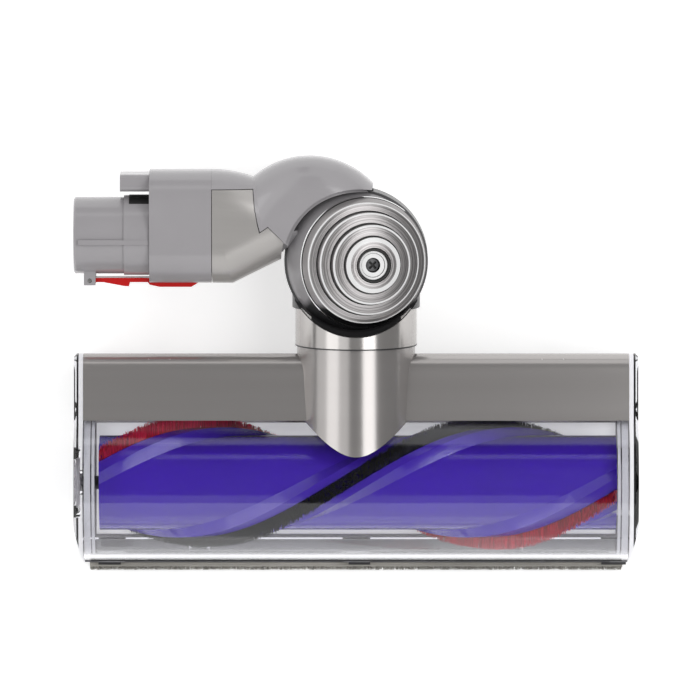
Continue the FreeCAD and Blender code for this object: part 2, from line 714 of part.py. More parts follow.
def tube_profile():
    """Round tube with two opposite lands, each with a groove for its row."""
    edges = []
    corners = []
    for turn_of, width in ((0, size.filament_width), (180, size.bristle_width)):
        middle = start_angle() + turn_of
        flat = size.land_half_angle.value
        top = size.land_radius.value
        bottom = (size.land_radius - size.groove_depth).value
        opening = math.degrees(math.asin((width.value / 2 + 0.1) / top))
        floor = math.degrees(math.asin((width.value / 2 + 0.1) / bottom))
        corners.append((size.bar_radius.value, middle - flat - 12))
        edges += [("line", (size.bar_radius.value, middle - flat - 12), (top, middle - flat)),
                  ("arc", (top, middle - flat), (top, middle - opening)),
                  ("line", (top, middle - opening), (bottom, middle - floor)),
                  ("arc", (bottom, middle - floor), (bottom, middle + floor)),
                  ("line", (bottom, middle + floor), (top, middle + opening)),
                  ("arc", (top, middle + opening), (top, middle + flat)),
                  ("line", (top, middle + flat), (size.bar_radius.value, middle + flat + 12)),
                  ("arc", (size.bar_radius.value, middle + flat + 12),
                   (size.bar_radius.value, middle + 180 - flat - 12))]
    wires = []
    for kind, start, end in edges:
        if kind == "line":
            wires.append(Part.makeLine(bar_point(*start), bar_point(*end)))
        else:
            wires.append(arc_through(start[0], start[1], end[1]))
    return Part.Wire(wires)


def make_brush_tube():
    """Brush tube with its spiral lands, turned as one twisted profile."""
    tube = twisted(tube_profile()).cut(Part.makeCylinder(
        (size.bar_radius - size.bar_wall).value, LONG,
        FreeCAD.Vector(-LONG / 2, size.bar_y.value, size.bar_z.value), X_AXIS))
    thing = doc.addObject("Part::Feature", "brush_tube_shape")
    thing.Shape = tube
    return finish(thing, "brush_tube")


def make_row(label, turn_of, width, tip):
    """Row of bristles in the groove of one land, as one twisted strip."""
    middle = start_angle() + turn_of
    bottom = (size.land_radius - size.groove_depth + 0.1).value
    low = math.degrees(math.asin(width.value / 2 / bottom))
    high = math.degrees(math.asin(width.value / 2 / tip.value))
    profile = Part.Wire([
        arc_through(bottom, middle - low, middle + low),
        Part.makeLine(bar_point(bottom, middle + low), bar_point(tip.value, middle + high)),
        arc_through(tip.value, middle + high, middle - high),
        Part.makeLine(bar_point(tip.value, middle - high), bar_point(bottom, middle - low))])
    thing = doc.addObject("Part::Feature", label + "_shape")
    thing.Shape = twisted(profile)
    return finish(thing, label)


def make_plugs():
    """End plugs of the brush tube: the left one with the spindle, the right one a bearing."""
    inside = size.bar_radius - size.bar_wall
    disc = bar_cylinder("left_plug_disc", inside, BAR_LEFT, size.plug_length)
    pin = bar_cylinder("left_plug_spindle", size.spindle_radius, -INNER + 0.4,
                       BAR_LEFT + INNER + 1)
    finish(fuse("left_plug", [disc, pin]), "spindle_plug")
    ring = cut("right_plug", bar_cylinder("right_plug_disc", inside,
                                          BAR_RIGHT - size.plug_length, size.plug_length),
               bar_cylinder("right_plug_bore", size.motor_radius + size.running_gap))
    return finish(ring, "motor_bearing")


def tangent(angle):
    """Tangent of an angle of the sheet, in degrees."""
    return Size(math.tan(math.radians(angle.value)), "tan(%s)" % angle.text)


def knuckle_height(apex, radius):
    """Height of the cone under the ears at a radius, for the cone through an apex."""
    return apex - radius * tangent(size.cap_cant)


def double_cone(name, radius, apex):
    """Drum about the pivot whose ends are flat cones that follow the lean of the caps."""
    rim = knuckle_height(apex, radius)
    return turned(name, [(0, -apex), (radius, -rim), (radius, rim), (0, apex)])


def canted_axis(side):
    """Axis of a ringed cap: it leans away from the wand, above or below the neck."""
    lean = math.radians(size.cap_cant.value)
    return FreeCAD.Vector(math.sin(lean), 0, side * math.cos(lean))


def canted_rod(name, side, radius, low, length):
    """Rod along the axis of a ringed cap, from a distance out from the ball's middle."""
    lean = size.cap_cant
    sine = Size(math.sin(math.radians(lean.value)), "sin(%s)" % lean.text)
    cosine = Size(math.cos(math.radians(lean.value)), "cos(%s)" % lean.text)
    return rod(name, radius, (low * sine, 0, side * low * cosine), length, canted_axis(side))


KNUCKLE = size.ball_radius - size.moving_gap / 2
KNUCKLE_APEX = size.ear_apex - size.moving_gap
KNUCKLE_RIM = knuckle_height(KNUCKLE_APEX, KNUCKLE)


def make_cuff():
    """Ring behind the swivel line, scooped out round the ball."""
    start = size.swivel_line - size.seat_gap
    ring = rod("cuff_ring", size.cuff_radius, (0, -start, 0), start - size.cuff_end, Y_AXIS)
    bore = rod("cuff_bore_tool", size.cuff_bore, (0, -start - 1, 0), LONG, Y_AXIS)
    scoop = rod("cuff_scoop", size.ball_radius + size.moving_gap, (0, 0, -LONG / 2), LONG)
    cuff = cut("cuff_cut", ring, fuse("cuff_tools", [bore, scoop]))
    in_swivel_frame(cuff)
    return finish(cuff, "swivel_cuff")


def knuckle_flanks():
    """Rounded flanks behind the cuff, outside the room in which the ears turn."""
    length = size.cuff_end * 0.5
    start = -size.cuff_end + size.seat_gap
    radius = size.cuff_radius + size.flank_step
    round_part = cut("flank_outer", rod("flank_rod", radius, (0, start, 0), length, Y_AXIS),
                     rod("flank_room", size.ball_radius + size.moving_gap,
                         (0, 0, -LONG / 2), LONG))
    half = KNUCKLE_RIM - size.moving_gap
    web = common("flank_web", [
        rod("flank_web_rod", radius, (0, start, 0), length, Y_AXIS),
        box("flank_web_box", (-LONG / 2, -LONG / 2, -half), (LONG / 2, 0, half))])
    return fuse("flanks", [round_part, web])


def make_knuckle():
    """Drum between the ears, with its root in the cuff and its collar in the neck."""
    drum = double_cone("knuckle_drum", KNUCKLE, KNUCKLE_APEX)
    front = size.swivel_line - size.seat_gap
    half = size.cuff_bore * 0.84
    rim = box("knuckle_root", (-half, -front, -KNUCKLE_RIM), (half, -24, KNUCKLE_RIM))
    disc = rod("knuckle_disc", size.cuff_bore - size.running_gap, (0, -front, 0), 2.4, Y_AXIS)
    collar = rod("knuckle_collar", size.collar_radius, (0, -front - size.collar_length, 0),
                 size.collar_length + 1, Y_AXIS)
    outer = fuse("knuckle_whole", [drum, rim, disc, collar, knuckle_flanks()])
    duct = size.duct_half_height
    room = cut("knuckle_room",
               rod("knuckle_hollow", KNUCKLE - size.knuckle_wall, (0, 0, -duct), 2 * duct),
               rod("knuckle_post", size.post_radius, (0, 0, -duct - 1), 2 * duct + 2))
    port = box("knuckle_port", (-size.duct_half_width, -LONG / 2, -duct),
               (size.duct_half_width, -size.post_radius - 6, duct))
    mouth = rod("collar_bore", size.neck_bore, (0, -LONG / 2, 0),
                LONG / 2 - front + 1.2, Y_AXIS)
    far = 60.0
    corners = [(far * math.cos(math.radians(a)), far * math.sin(math.radians(a)))
               for a in (76, 120, 164)]
    inner = [(size.post_radius.value * 2.4 * math.cos(math.radians(a)),
              size.post_radius.value * 2.4 * math.sin(math.radians(a))) for a in (164, 76)]
    slot = extruded("knuckle_slot", "XY_Plane", corners + inner, 2 * duct, 0)
    bores = [rod("pin_bore_%d" % (side + 1), size.pin_radius + size.running_gap,
                 (0, 0, side * (size.ear_apex - size.pin_depth - size.seat_gap)), 30,
                 Z_AXIS * side) for side in (-1, 1)]
    knuckle = cut("knuckle_cut", outer,
                  fuse("knuckle_tools", [room, port, mouth, slot] + bores))
    in_swivel_frame(knuckle)
    return finish(knuckle, "knuckle")


SLEEVE_HEIGHT = size.sleeve_half_height


def oblong(name, inset):
    """Run of the elbow from the sleeve, with the sleeve's section drawn in by an inset."""
    half = SLEEVE_HEIGHT - inset
    block = box(name + "_block", (-size.sleeve_start - 5, inset - size.sleeve_front, -half),
                (-14, size.sleeve_rear - inset, half))
    return rounded(name + "_rounded", block, size.sleeve_round - inset,
                   lambda e: e.BoundBox.XLength > 1)


def bevel(name, inset):
    """Block whose rounded face runs from the front of the sleeve to the ball."""
    half = SLEEVE_HEIGHT - inset
    block = box(name + "_block", (-LONG / 4, inset, -half), (LONG / 4, LONG / 4, half))
    block = rounded(name + "_rounded", block, size.sleeve_round - inset,
                    lambda e: e.BoundBox.XLength > 1)
    block.Placement = FreeCAD.Placement(FreeCAD.Vector(), FreeCAD.Rotation(
        Z_AXIS, size.bevel_angle.value))
    bind(block, "Placement.Base.x", -size.bevel_start)
    bind(block, "Placement.Base.y", -size.sleeve_front)
    return block


def drum(name, radius, middle, inset):
    """Round block with rounded rims about an upright axis, drawn in by an inset."""
    half = SLEEVE_HEIGHT - inset
    block = rod(name + "_rod", radius - inset, (middle[0], middle[1], -half), 2 * half)
    return rounded(name + "_rounded", block, size.sleeve_round - inset,
                   lambda e: e.BoundBox.ZLength < 1e-6)


def elbow_run(name, inset):
    """Outer form of the elbow's oblong run, drawn in by an inset."""
    waist = drum(name + "_waist", size.waist_radius,
                 (-size.sleeve_start, size.sleeve_rear - size.waist_radius), inset)
    return common(name + "_run", [oblong(name + "_oblong", inset),
                                  bevel(name + "_bevel", inset), waist])


def elbow_shoulder(name, inset):
    """Outer form of the elbow's round shoulder, drawn in by an inset."""
    return drum(name + "_shoulder", size.shoulder_radius,
                (-size.shoulder_x, size.shoulder_y), inset)


def at_ball(points):
    """Points given as shares of the ball's radius, from its middle."""
    return [(size.ball_radius * x, size.ball_radius * y) for x, y in points]


HOOD_EDGE = at_ball(((-1.422, 1.016), (-1.4, 0.75), (-1.359, 0.544), (-1.328, 0.431),
                     (-1.219, 0.506), (-0.875, 0.162)))
COVER_EDGE = at_ball(((-1.431, 1.006), (-1.409, 0.75), (-1.369, 0.538), (-1.338, 0.412),
                      (-1.219, 0.494), (-0.875, 0.15)))
SKIN = size.cover_thickness
CORE = SKIN + size.seat_gap / 2


def hood_region(name, left):
    """Prism over the part of the elbow that the hood covers, from a left end."""
    inner = at_ball(((-0.06, 0.44), (0.375, 0.94), (0.375, 2.2)))
    points = [(left, inner[-1][1]), (left, HOOD_EDGE[0][1])] + HOOD_EDGE + inner
    return extruded(name, "XY_Plane", points, 2 * size.ball_radius, 0)


def lip_plane(name):
    """Block beyond the hood's lip, square to the ball."""
    block = box(name, (0, 0, -LONG / 2), (LONG / 2, LONG / 2, LONG / 2))
    block.Placement = FreeCAD.Placement(FreeCAD.Vector(), FreeCAD.Rotation(
        Z_AXIS, size.lip_angle.value - 90))
    return block


def make_elbow_duct():
    """Ears round the knuckle and the duct to the wand, in one piece."""
    ball = doc.addObject("Part::Sphere", "ear_ball")
    bind(ball, "Radius", size.ball_radius)
    planes = [canted_rod("ear_plane_%d" % (side + 1), side, 80, size.cap_height, 60)
              for side in (-1, 1)]
    ears = cut("ears", ball, fuse("ear_planes", planes))
    left = -size.sleeve_start + size.seat_gap
    run, shoulder = elbow_run("core", CORE), elbow_shoulder("core", CORE)
    run_core = common("run_core", [run, box("core_box", (left, -LONG / 2, -LONG / 2),
                                            (-20, LONG / 2, LONG / 2))])
    shoulder_core = common("shoulder_core", [shoulder, hood_region("core_region", left)])
    body = cut("core_body", fuse("core_whole", [run_core, shoulder_core]),
               fuse("core_limits", [
                   rod("core_ball", size.ball_radius - 1, (0, 0, -LONG / 2), LONG),
                   lip_plane("core_lip")]))
    root = common("root", [run, box("root_box", (-size.ball_radius - 3, 0, -LONG / 2),
                                    (-22, 14, LONG / 2))])
    outer = fuse("duct_whole", [ears, body, root])
    room = size.ball_radius + size.moving_gap
    tools = [double_cone("band", room, size.ear_apex)]
    tools.append(rod("duct_bore", size.spigot_bore, (-size.sleeve_start - 1, size.wand_offset, 0),
                     size.throat_start, X_AXIS))
    duct = size.duct_half_height
    tools.append(box("duct_throat", (-size.sleeve_start + size.throat_start - 2, 5.5, -duct),
                     (-20, 24, duct)))
    channel = common("duct_channel", [
        rod("duct_channel_round", room + 3.4, (0, 0, -duct), 2 * duct),
        box("duct_channel_box", (-45, 0, -duct), (-2, 45, duct))])
    tools.append(channel)
    for side in (-1, 1):
        tools.append(rod("ear_hole_%d" % (side + 1), size.pin_radius, (0, 0, 0), 30,
                         Z_AXIS * side))
        tools.append(canted_rod("ear_screw_hole_%d" % (side + 1), side,
                                size.screw_shank + size.running_gap, 10, 30))
    duct_piece = cut("duct_cut", outer, fuse("duct_tools", tools))
    in_swivel_frame(duct_piece)
    return finish(duct_piece, "elbow_duct")


def make_hood():
    """Glossy hood over the rear of the elbow, curved round the ball."""
    run, shoulder = elbow_run("hood_outer", 0), elbow_shoulder("hood_outer", 0)
    region = hood_region("hood_plan", -size.sleeve_start + size.hair_gap)
    outer = common("hood_solid", [fuse("hood_form", [run, shoulder]), region])
    inner_run = elbow_run("hood_inner", SKIN)
    inner_shoulder = elbow_shoulder("hood_inner", SKIN)
    room = rod("hood_ball", size.ball_radius + size.moving_gap, (0, 0, -LONG / 2), LONG)
    hood = cut("hood_cut", outer, fuse("hood_tools", [inner_run, inner_shoulder, room,
                                                      lip_plane("hood_lip")]))
    in_swivel_frame(hood)
    return finish(hood, "elbow_hood")


def make_covers():
    """Metal-look covers above and below the elbow's duct, wrapped round its front."""
    left = -size.sleeve_start + 0.3
    front = -size.ball_radius
    points = [(left, COVER_EDGE[0][1])] + COVER_EDGE + [(COVER_EDGE[-1][0], front),
                                                        (left, front)]
    for side, word in ((1, "upper"), (-1, "lower")):
        low, high = sorted((side * size.seat_gap / 2, side * size.ball_radius),
                           key=lambda s: s.value)
        half = box("cover_half_" + word, (-LONG / 2, -LONG / 2, low),
                   (LONG / 2, LONG / 2, high))
        region = extruded("cover_plan_" + word, "XY_Plane", points, 2 * size.ball_radius, 0)
        outer = elbow_run("cover_outer_" + word, 0)
        inner = elbow_run("cover_inner_" + word, SKIN)
        room = rod("cover_ball_" + word, size.ball_radius + 3 * size.moving_gap,
                   (0, 0, -LONG / 2), LONG)
        plate = cut("cover_%s_plate" % word, common("cover_solid_" + word, [outer, region, half]),
                    fuse("cover_tools_" + word, [inner, room]))
        in_swivel_frame(plate)
        finish(plate, "elbow_cover_" + word)


def make_sleeve():
    """Oval sleeve that holds the wand spigot, with the slot of the release latch."""
    block = box("sleeve_block", (-size.sleeve_end, -size.sleeve_front,
                                 -size.sleeve_half_height),
                (-size.sleeve_start, size.sleeve_rear, size.sleeve_half_height))
    block = rounded("sleeve_rounded", block, size.sleeve_round,
                    lambda e: e.BoundBox.XLength > 1)
    bore = rod("sleeve_bore", size.spigot_radius + 0.05, (-LONG / 2, size.wand_offset, 0),
               LONG, X_AXIS)
    sleeve = cut("sleeve_cut", block, fuse("sleeve_tools", [bore, latch_slot("sleeve")]))
    in_swivel_frame(sleeve)
    return finish(sleeve, "connector_sleeve")


def latch_slot(owner):
    """Room for the release latch in the sleeve and the spigot."""
    half = size.latch_height / 2 + size.moving_gap
    face = size.wand_offset - size.spigot_radius
    return box("latch_slot_" + owner, (-size.spigot_end + 8, -40, -half),
               (-size.sleeve_start - 3, face, half))


def make_spigot():
    """Wand spigot with its collar, its rib and the lugs of the release latch."""
    start = -size.spigot_end
    radius = size.spigot_radius
    tube = rod("spigot_tube", radius, (start, size.wand_offset, 0),
               size.spigot_end - size.sleeve_start - size.seat_gap, X_AXIS)
    mouth = start.value
    tube = chamfered("spigot_edge", tube, 0.7,
                     lambda e: abs(e.BoundBox.XMin - mouth) < 1e-6
                     and abs(e.BoundBox.XMax - mouth) < 1e-6)
    step = size.sleeve_end + size.step_reach
    collar = rod("spigot_collar", radius + 0.9, (-step, size.wand_offset, 0),
                 size.step_reach - size.seat_gap, X_AXIS)
    collar = cut("spigot_collar_cut", collar, latch_slot("spigot"))
    rib = box("spigot_rib", (start + 2, 8.0, radius - 0.6),
              (-size.sleeve_end - size.seat_gap, 10.2, radius + 1.2))
    lugs = []
    for side in (-1, 1):
        inner = size.latch_height / 2 + size.moving_gap / 2
        ends = sorted((side * inner, side * (inner + 2.2)), key=lambda s: s.value)
        lugs.append(box("latch_lug_%d" % (side + 1), (-size.latch_hinge - 2.6, -11, ends[0]),
                        (-size.latch_hinge + 2.6, 0, ends[1])))
    outer = fuse("spigot_whole", [tube, collar, rib] + lugs)
    bore = rod("spigot_bore_tool", size.spigot_bore, (-LONG / 2, size.wand_offset, 0), LONG,
               X_AXIS)
    hole = latch_axis("latch_lug_hole", size.latch_pin_radius + 0.02, 0)
    spigot = cut("spigot_cut", outer, fuse("spigot_tools", [bore, hole]))
    in_swivel_frame(spigot)
    return finish(spigot, "wand_spigot")


def latch_axis(name, radius, shorter):
    """Rod along the hinge of the release latch."""
    half = size.latch_height / 2 + size.moving_gap / 2 + 2.2 - shorter
    middle = size.wand_offset - size.spigot_radius - 2.65
    return rod(name, radius, (-size.latch_hinge, middle, -half), 2 * half)


def make_latch():
    """Release latch: an arm with a barb, a button and the eye of its hinge, and the pin."""
    face = size.wand_offset - size.spigot_radius - size.latch_lift
    back = face - size.latch_arm
    front = -size.latch_front
    eye = 2.4
    middle = size.wand_offset - size.spigot_radius - 2.65
    hinge = -size.latch_hinge
    end = -size.sleeve_end
    tail = -size.sleeve_start - 5.5
    points = [(tail, face), (hinge + eye, face),
              (hinge + eye, middle + 2.0), (hinge - eye, middle + 2.0),
              (hinge - eye, middle - 2.0), (hinge + eye, middle - 2.0),
              (hinge + eye + 0.4, back), (hinge + 6, back), (hinge + 15.6, front),
              (hinge + 17.4, front), (hinge + 17.8, back), (end - 0.9, back),
              (end + 0.1, front + 0.6), (end + 4.5, front - 0.3), (tail - 3.5, front - 0.3),
              (tail, back)]
    body = extruded("latch_arm", "XY_Plane", points, size.latch_height, 0)
    hole = latch_axis("latch_eye_hole", size.latch_pin_radius + size.running_gap, 0)
    latch = cut("latch_cut", body, hole)
    in_swivel_frame(latch)
    finish(latch, "release_latch")
    pin = refined("latch_pin_rod", latch_axis("latch_pin_body", size.latch_pin_radius, 0))
    in_swivel_frame(pin)
    return finish(pin, "latch_pin")


def make_terminal():
    """Terminal boss beside the spigot with its contacts."""
    start = -size.sleeve_end - size.boss_length
    block = box("boss_block", (start, size.boss_front, -size.boss_height / 2),
                (-size.sleeve_end - size.seat_gap / 2, size.boss_front + size.boss_depth,
                 size.boss_height / 2))
    end = start.value
    block = rounded("boss_rounded", block, 2.5,
                    lambda e: e.BoundBox.XLength > 1)
    tools = []
    middle = size.boss_front + size.boss_depth / 2
    for side, word in ((1, "upper"), (-1, "lower")):
        seat = (start - 1, middle, side * size.boss_height / 4)
        tools.append(rod("contact_hole_" + word, 1.6, seat, 9, X_AXIS))
        contact = refined("contact_rod_" + word, rod(
            "contact_body_" + word, 1.6, (start + 0.6,) + seat[1:], 7.3, X_AXIS))
        in_swivel_frame(contact)
        finish(contact, "contact_" + word)
    boss = cut("boss_cut", block, group("boss_tools", tools))
    in_swivel_frame(boss)
    return finish(boss, "terminal_boss")


RING_RADII = tuple(size.ball_radius * share for share in (0.8375, 0.70625, 0.55, 0.384375))


def ring_height(radius):
    """Height on the ball of a ring's edge."""
    ball = size.ball_radius
    return root(ball * ball - radius * radius)


def make_ringed_caps():
    """Stepped caps that lean away from the wand, with their screws and the pivot pins."""
    for side, word in ((1, "upper"), (-1, "lower")):
        base = size.ball_radius * 0.875
        seat = size.cap_height + 0.6
        steps = [(0, size.cap_height), (base, size.cap_height), (base, seat),
                 (RING_RADII[0] + 0.15, seat), (RING_RADII[0] - 0.15, seat + 0.5)]
        for outer, inner in zip(RING_RADII, RING_RADII[1:]):
            if outer is not RING_RADII[0]:
                steps.append((outer, ring_height(outer)))
            rise = 1.2 if outer is RING_RADII[0] else 0.25
            steps.append((outer - 0.7, ring_height(outer) + rise))
            steps.append((inner + 0.5, ring_height(outer) + rise + 0.5))
        last = RING_RADII[-1]
        crown = ring_height(last)
        steps += [(last, crown), (last - 0.7, crown + 0.3), (size.recess_radius, crown + 0.7),
                  (size.recess_radius - 0.8, crown - 1.0), (0, crown - 1.0)]
        body = turned("cap_" + word, steps)
        body.Placement = FreeCAD.Placement(FreeCAD.Vector(), FreeCAD.Rotation(
            Z_AXIS, canted_axis(side)))
        floor = crown - 1.0
        well = canted_rod("cap_well_" + word, side, size.screw_head + 0.6, floor - 1.6, 5)
        hole = canted_rod("cap_hole_" + word, side, size.screw_shank + size.running_gap, 0, 60)
        cap = cut("cap_cut_" + word, body, fuse("cap_tools_" + word, [well, hole]))
        in_swivel_frame(cap)
        finish(cap, "ringed_cap_" + word)
        head = canted_rod("screw_head_" + word, side, size.screw_head, floor - 1.6, 1.6)
        shank = canted_rod("screw_shank_" + word, side, size.screw_shank, size.cap_height - 4,
                           floor - 1.0 - size.cap_height + 4)
        screw = fuse("screw_" + word, [head, shank])
        in_swivel_frame(screw)
        finish(screw, "cap_screw_" + word)
        pin = rod("pin_rod_" + word, size.pin_radius,
                  (0, 0, side * (size.ear_apex - size.pin_depth)), 14, Z_AXIS * side)
        plane = canted_rod("pin_plane_" + word, side, 60, size.cap_height - 0.05, 40)
        bore = canted_rod("pin_screw_hole_" + word, side, size.screw_shank, 12, 30)
        pin = cut("pin_cut_" + word, pin, fuse("pin_tools_" + word, [plane, bore]))
        in_swivel_frame(pin)
        finish(pin, "pivot_pin_" + word)


def write_parts():
    """Check every object and every piece, then write the pieces."""
    doc.recompute()
    failed = [o.Name for o in doc.Objects if "Invalid" in o.State or "Error" in o.State]
    failed += [p.Label for p in pieces if p.Shape.isNull() or not p.Shape.isValid()]
    if failed:
        raise RuntimeError("failed: " + ", ".join(failed))
    os.makedirs("parts", exist_ok=True)
    for piece in pieces:
        piece.Shape.exportStep("parts/%s.step" % piece.Label)


make_rear_housing()
make_clear_housing()
make_end_caps()
make_coin_lock()
make_sole()
make_felt()
make_wheels()
make_motor()
make_brush_tube()
make_row("bristle_row", 180, size.bristle_width, size.bristle_radius)
make_row("filament_row", 0, size.filament_width, size.filament_radius)
make_plugs()
make_cuff()
make_knuckle()
make_elbow_duct()
make_hood()
make_covers()
make_sleeve()
make_spigot()
make_latch()
make_terminal()
make_ringed_caps()
write_parts()
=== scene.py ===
"""Looks of a vacuum floor head: clear housing, spiral brush bar, neck and ringed elbow.

Metres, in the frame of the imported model: Z up, Y to the rear, X along the brush bar.
"""
import json
import math

import bpy
import numpy as np
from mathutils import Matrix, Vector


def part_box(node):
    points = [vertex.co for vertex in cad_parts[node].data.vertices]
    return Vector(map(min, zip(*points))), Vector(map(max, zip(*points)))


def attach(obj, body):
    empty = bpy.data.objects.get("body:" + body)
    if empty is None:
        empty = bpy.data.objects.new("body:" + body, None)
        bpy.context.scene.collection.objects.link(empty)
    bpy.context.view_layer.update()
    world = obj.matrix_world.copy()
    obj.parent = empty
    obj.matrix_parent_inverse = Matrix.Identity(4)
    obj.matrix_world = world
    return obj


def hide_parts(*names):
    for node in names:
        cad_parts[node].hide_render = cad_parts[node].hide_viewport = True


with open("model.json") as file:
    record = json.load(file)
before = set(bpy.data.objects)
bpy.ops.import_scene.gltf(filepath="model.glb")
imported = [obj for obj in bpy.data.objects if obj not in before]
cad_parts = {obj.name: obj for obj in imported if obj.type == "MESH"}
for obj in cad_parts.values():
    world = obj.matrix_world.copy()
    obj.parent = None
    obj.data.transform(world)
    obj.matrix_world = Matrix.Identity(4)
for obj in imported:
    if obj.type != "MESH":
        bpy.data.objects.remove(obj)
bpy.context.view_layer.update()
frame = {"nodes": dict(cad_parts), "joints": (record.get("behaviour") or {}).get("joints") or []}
MM = 0.001


# Places worked out from the frame

TUBE_LOW, TUBE_HIGH = (np.array(c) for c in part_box("brush_tube"))
BAR_Y = (TUBE_LOW[1] + TUBE_HIGH[1]) / 2
BAR_Z = (TUBE_LOW[2] + TUBE_HIGH[2]) / 2
LAND_RADIUS = (TUBE_HIGH[1] - TUBE_LOW[1]) / 2
HOUSING_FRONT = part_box("clear_housing")[0][1]
NECK_RISE = math.radians(6)
JOINT = {joint["name"]: joint for joint in frame["joints"]}
BALL = np.array(JOINT["elbow_pivot"]["pos_m"])
NECK_AXIS = np.array([0.0, math.cos(NECK_RISE), math.sin(NECK_RISE)])
PIVOT_AXIS = np.array([0.0, -math.sin(NECK_RISE), math.cos(NECK_RISE)])
SWIVEL = np.column_stack([[1.0, 0.0, 0.0], NECK_AXIS, PIVOT_AXIS])
CANT = math.radians(15)


# Meshes

def mesh_object(name, points, faces, body, smooth=True):
    """Object from points and faces, riding on a body, with its place in its mesh."""
    mesh = bpy.data.meshes.new(name)
    mesh.from_pydata(np.asarray(points, float).tolist(), [], [list(f) for f in faces])
    mesh.update()
    mesh.polygons.foreach_set("use_smooth", [smooth] * len(mesh.polygons))
    piece = bpy.data.objects.new(name, mesh)
    bpy.context.scene.collection.objects.link(piece)
    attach(piece, body)
    return piece


def grid_faces(rows, columns, wrap=False):
    """Quads of a grid of points, closed round its columns where asked."""
    r = np.arange(rows - 1)[:, None]
    c = np.arange(columns if wrap else columns - 1)[None, :]
    following = (c + 1) % columns
    quads = np.stack([r * columns + c, r * columns + following,
                      (r + 1) * columns + following, (r + 1) * columns + c], axis=-1)
    return quads.reshape(-1, 4)


def keep_sharp(piece, degrees=35):
    """Smooth shading that keeps the edges over an angle."""
    mesh = piece.data
    mesh.polygons.foreach_set("use_smooth", [True] * len(mesh.polygons))
    mesh.set_sharp_from_angle(angle=math.radians(degrees))


def square_axes(axis):
    """Two unit directions square to an axis and to each other."""
    u = np.cross(axis, [0.0, 1.0, 0.0] if abs(axis[1]) < 0.9 else [1.0, 0.0, 0.0])
    u /= np.linalg.norm(u)
    return u, np.cross(axis, u)


def circles(profile, centre, axis, steps):
    """Grid of points with one circle for each (height, radius) of a profile.

    A point is centre + axis * height + radius * (u cos t + v sin t), with u and v square to
    the axis.
    """
    axis = np.asarray(axis, float) / np.linalg.norm(axis)
    u, v = square_axes(axis)
    t = np.linspace(0, 2 * math.pi, steps, endpoint=False)
    rim = np.cos(t)[:, None] * u + np.sin(t)[:, None] * v
    profile = np.asarray(profile, float)
    return (np.asarray(centre) + profile[:, 0][:, None, None] * axis
            + profile[:, 1][:, None, None] * rim[None])


def turned(name, profile, centre, axis, body, steps=128):
    """Solid of revolution: the circles of a profile, with a lid at both ends."""
    points = circles(profile, centre, axis, steps)
    faces = grid_faces(len(profile), steps, wrap=True).tolist()
    faces.append(list(range(steps))[::-1])
    last = (len(profile) - 1) * steps
    faces.append([last + i for i in range(steps)])
    piece = mesh_object(name, points.reshape(-1, 3), faces, body)
    keep_sharp(piece, 30)
    return piece


def ring_piece(name, profile, centre, axis, body, steps=160):
    """Ring whose section is closed: the circles of a profile, the last joined to the first."""
    points = circles(profile, centre, axis, steps)
    faces = grid_faces(len(profile) + 1, steps, wrap=True) % (len(profile) * steps)
    piece = mesh_object(name, points.reshape(-1, 3), faces, body)
    keep_sharp(piece, 30)
    return piece


def arc_strip(name, centre, across, radii, angles, body, steps=72):
    """Part of a pipe whose axis runs along X.

    Its grid of points is (x, y + r sin a, z + r cos a) for the four corners (x, r) of its
    section and the angles a, in degrees from straight up towards the rear.
    """
    a = np.radians(np.linspace(angles[0], angles[1], steps))[None, :]
    x = np.array([across[0], across[1], across[1], across[0]])[:, None]
    r = np.array([radii[0], radii[0], radii[1], radii[1]])[:, None]
    points = np.stack([x + 0 * a, centre[0] + r * np.sin(a), centre[1] + r * np.cos(a)],
                      axis=-1)
    rows = grid_faces(5, steps) % (4 * steps)
    last = steps - 1
    faces = rows.tolist() + [[0, steps, 2 * steps, 3 * steps][::-1],
                             [last, steps + last, 2 * steps + last, 3 * steps + last]]
    if angles[1] > angles[0]:
        faces = [face[::-1] for face in faces]
    piece = mesh_object(name, points.reshape(-1, 3), faces, body)
    keep_sharp(piece, 30)
    return piece


def block(name, low, high, body):
    """Plain block between two corners."""
    points = [(x, y, z) for x in (low[0], high[0]) for y in (low[1], high[1])
              for z in (low[2], high[2])]
    faces = [(0, 1, 3, 2), (4, 6, 7, 5), (0, 4, 5, 1), (2, 3, 7, 6), (0, 2, 6, 4),
             (1, 5, 7, 3)]
    return mesh_object(name, points, faces, body, smooth=False)


# Shared shader groups

SURFACE_OUTPUTS = [("NodeSocketColor", "Colour"), ("NodeSocketFloat", "Roughness"),
                   ("NodeSocketVector", "Normal")]


def new_group(name, inputs, outputs):
    """Empty node group with named sockets, given as (kind, name, default)."""
    group = bpy.data.node_groups.new(name, "ShaderNodeTree")
    for kind, label, default in inputs:
        socket = group.interface.new_socket(label, in_out="INPUT", socket_type=kind)
        socket.default_value = default
    for kind, label in outputs:
        group.interface.new_socket(label, in_out="OUTPUT", socket_type=kind)
    return group, group.nodes.new("NodeGroupInput"), group.nodes.new("NodeGroupOutput")


def add_noise(group, detail, scale=None):
    """Noise node, at a scale where one is given."""
    noise = group.nodes.new("ShaderNodeTexNoise")
    noise.inputs["Detail"].default_value = detail
    if scale:
        noise.inputs["Scale"].default_value = scale
    return noise


def add_vector_math(group, operation, first, second=None):
    """Vector Math node fed by one or two sockets."""
    node = group.nodes.new("ShaderNodeVectorMath")
    node.operation = operation
    group.links.new(first, node.inputs[0])
    if second is not None:
        group.links.new(second, node.inputs[1])
    return node


def spread(group, noise):
    """Noise with its middle range, from 0.3 to 0.7, spread over 0 to 1."""
    level = group.nodes.new("ShaderNodeMapRange")
    level.inputs["From Min"].default_value = 0.3
    level.inputs["From Max"].default_value = 0.7
    group.links.new(noise.outputs["Fac"], level.inputs["Value"])
    return level


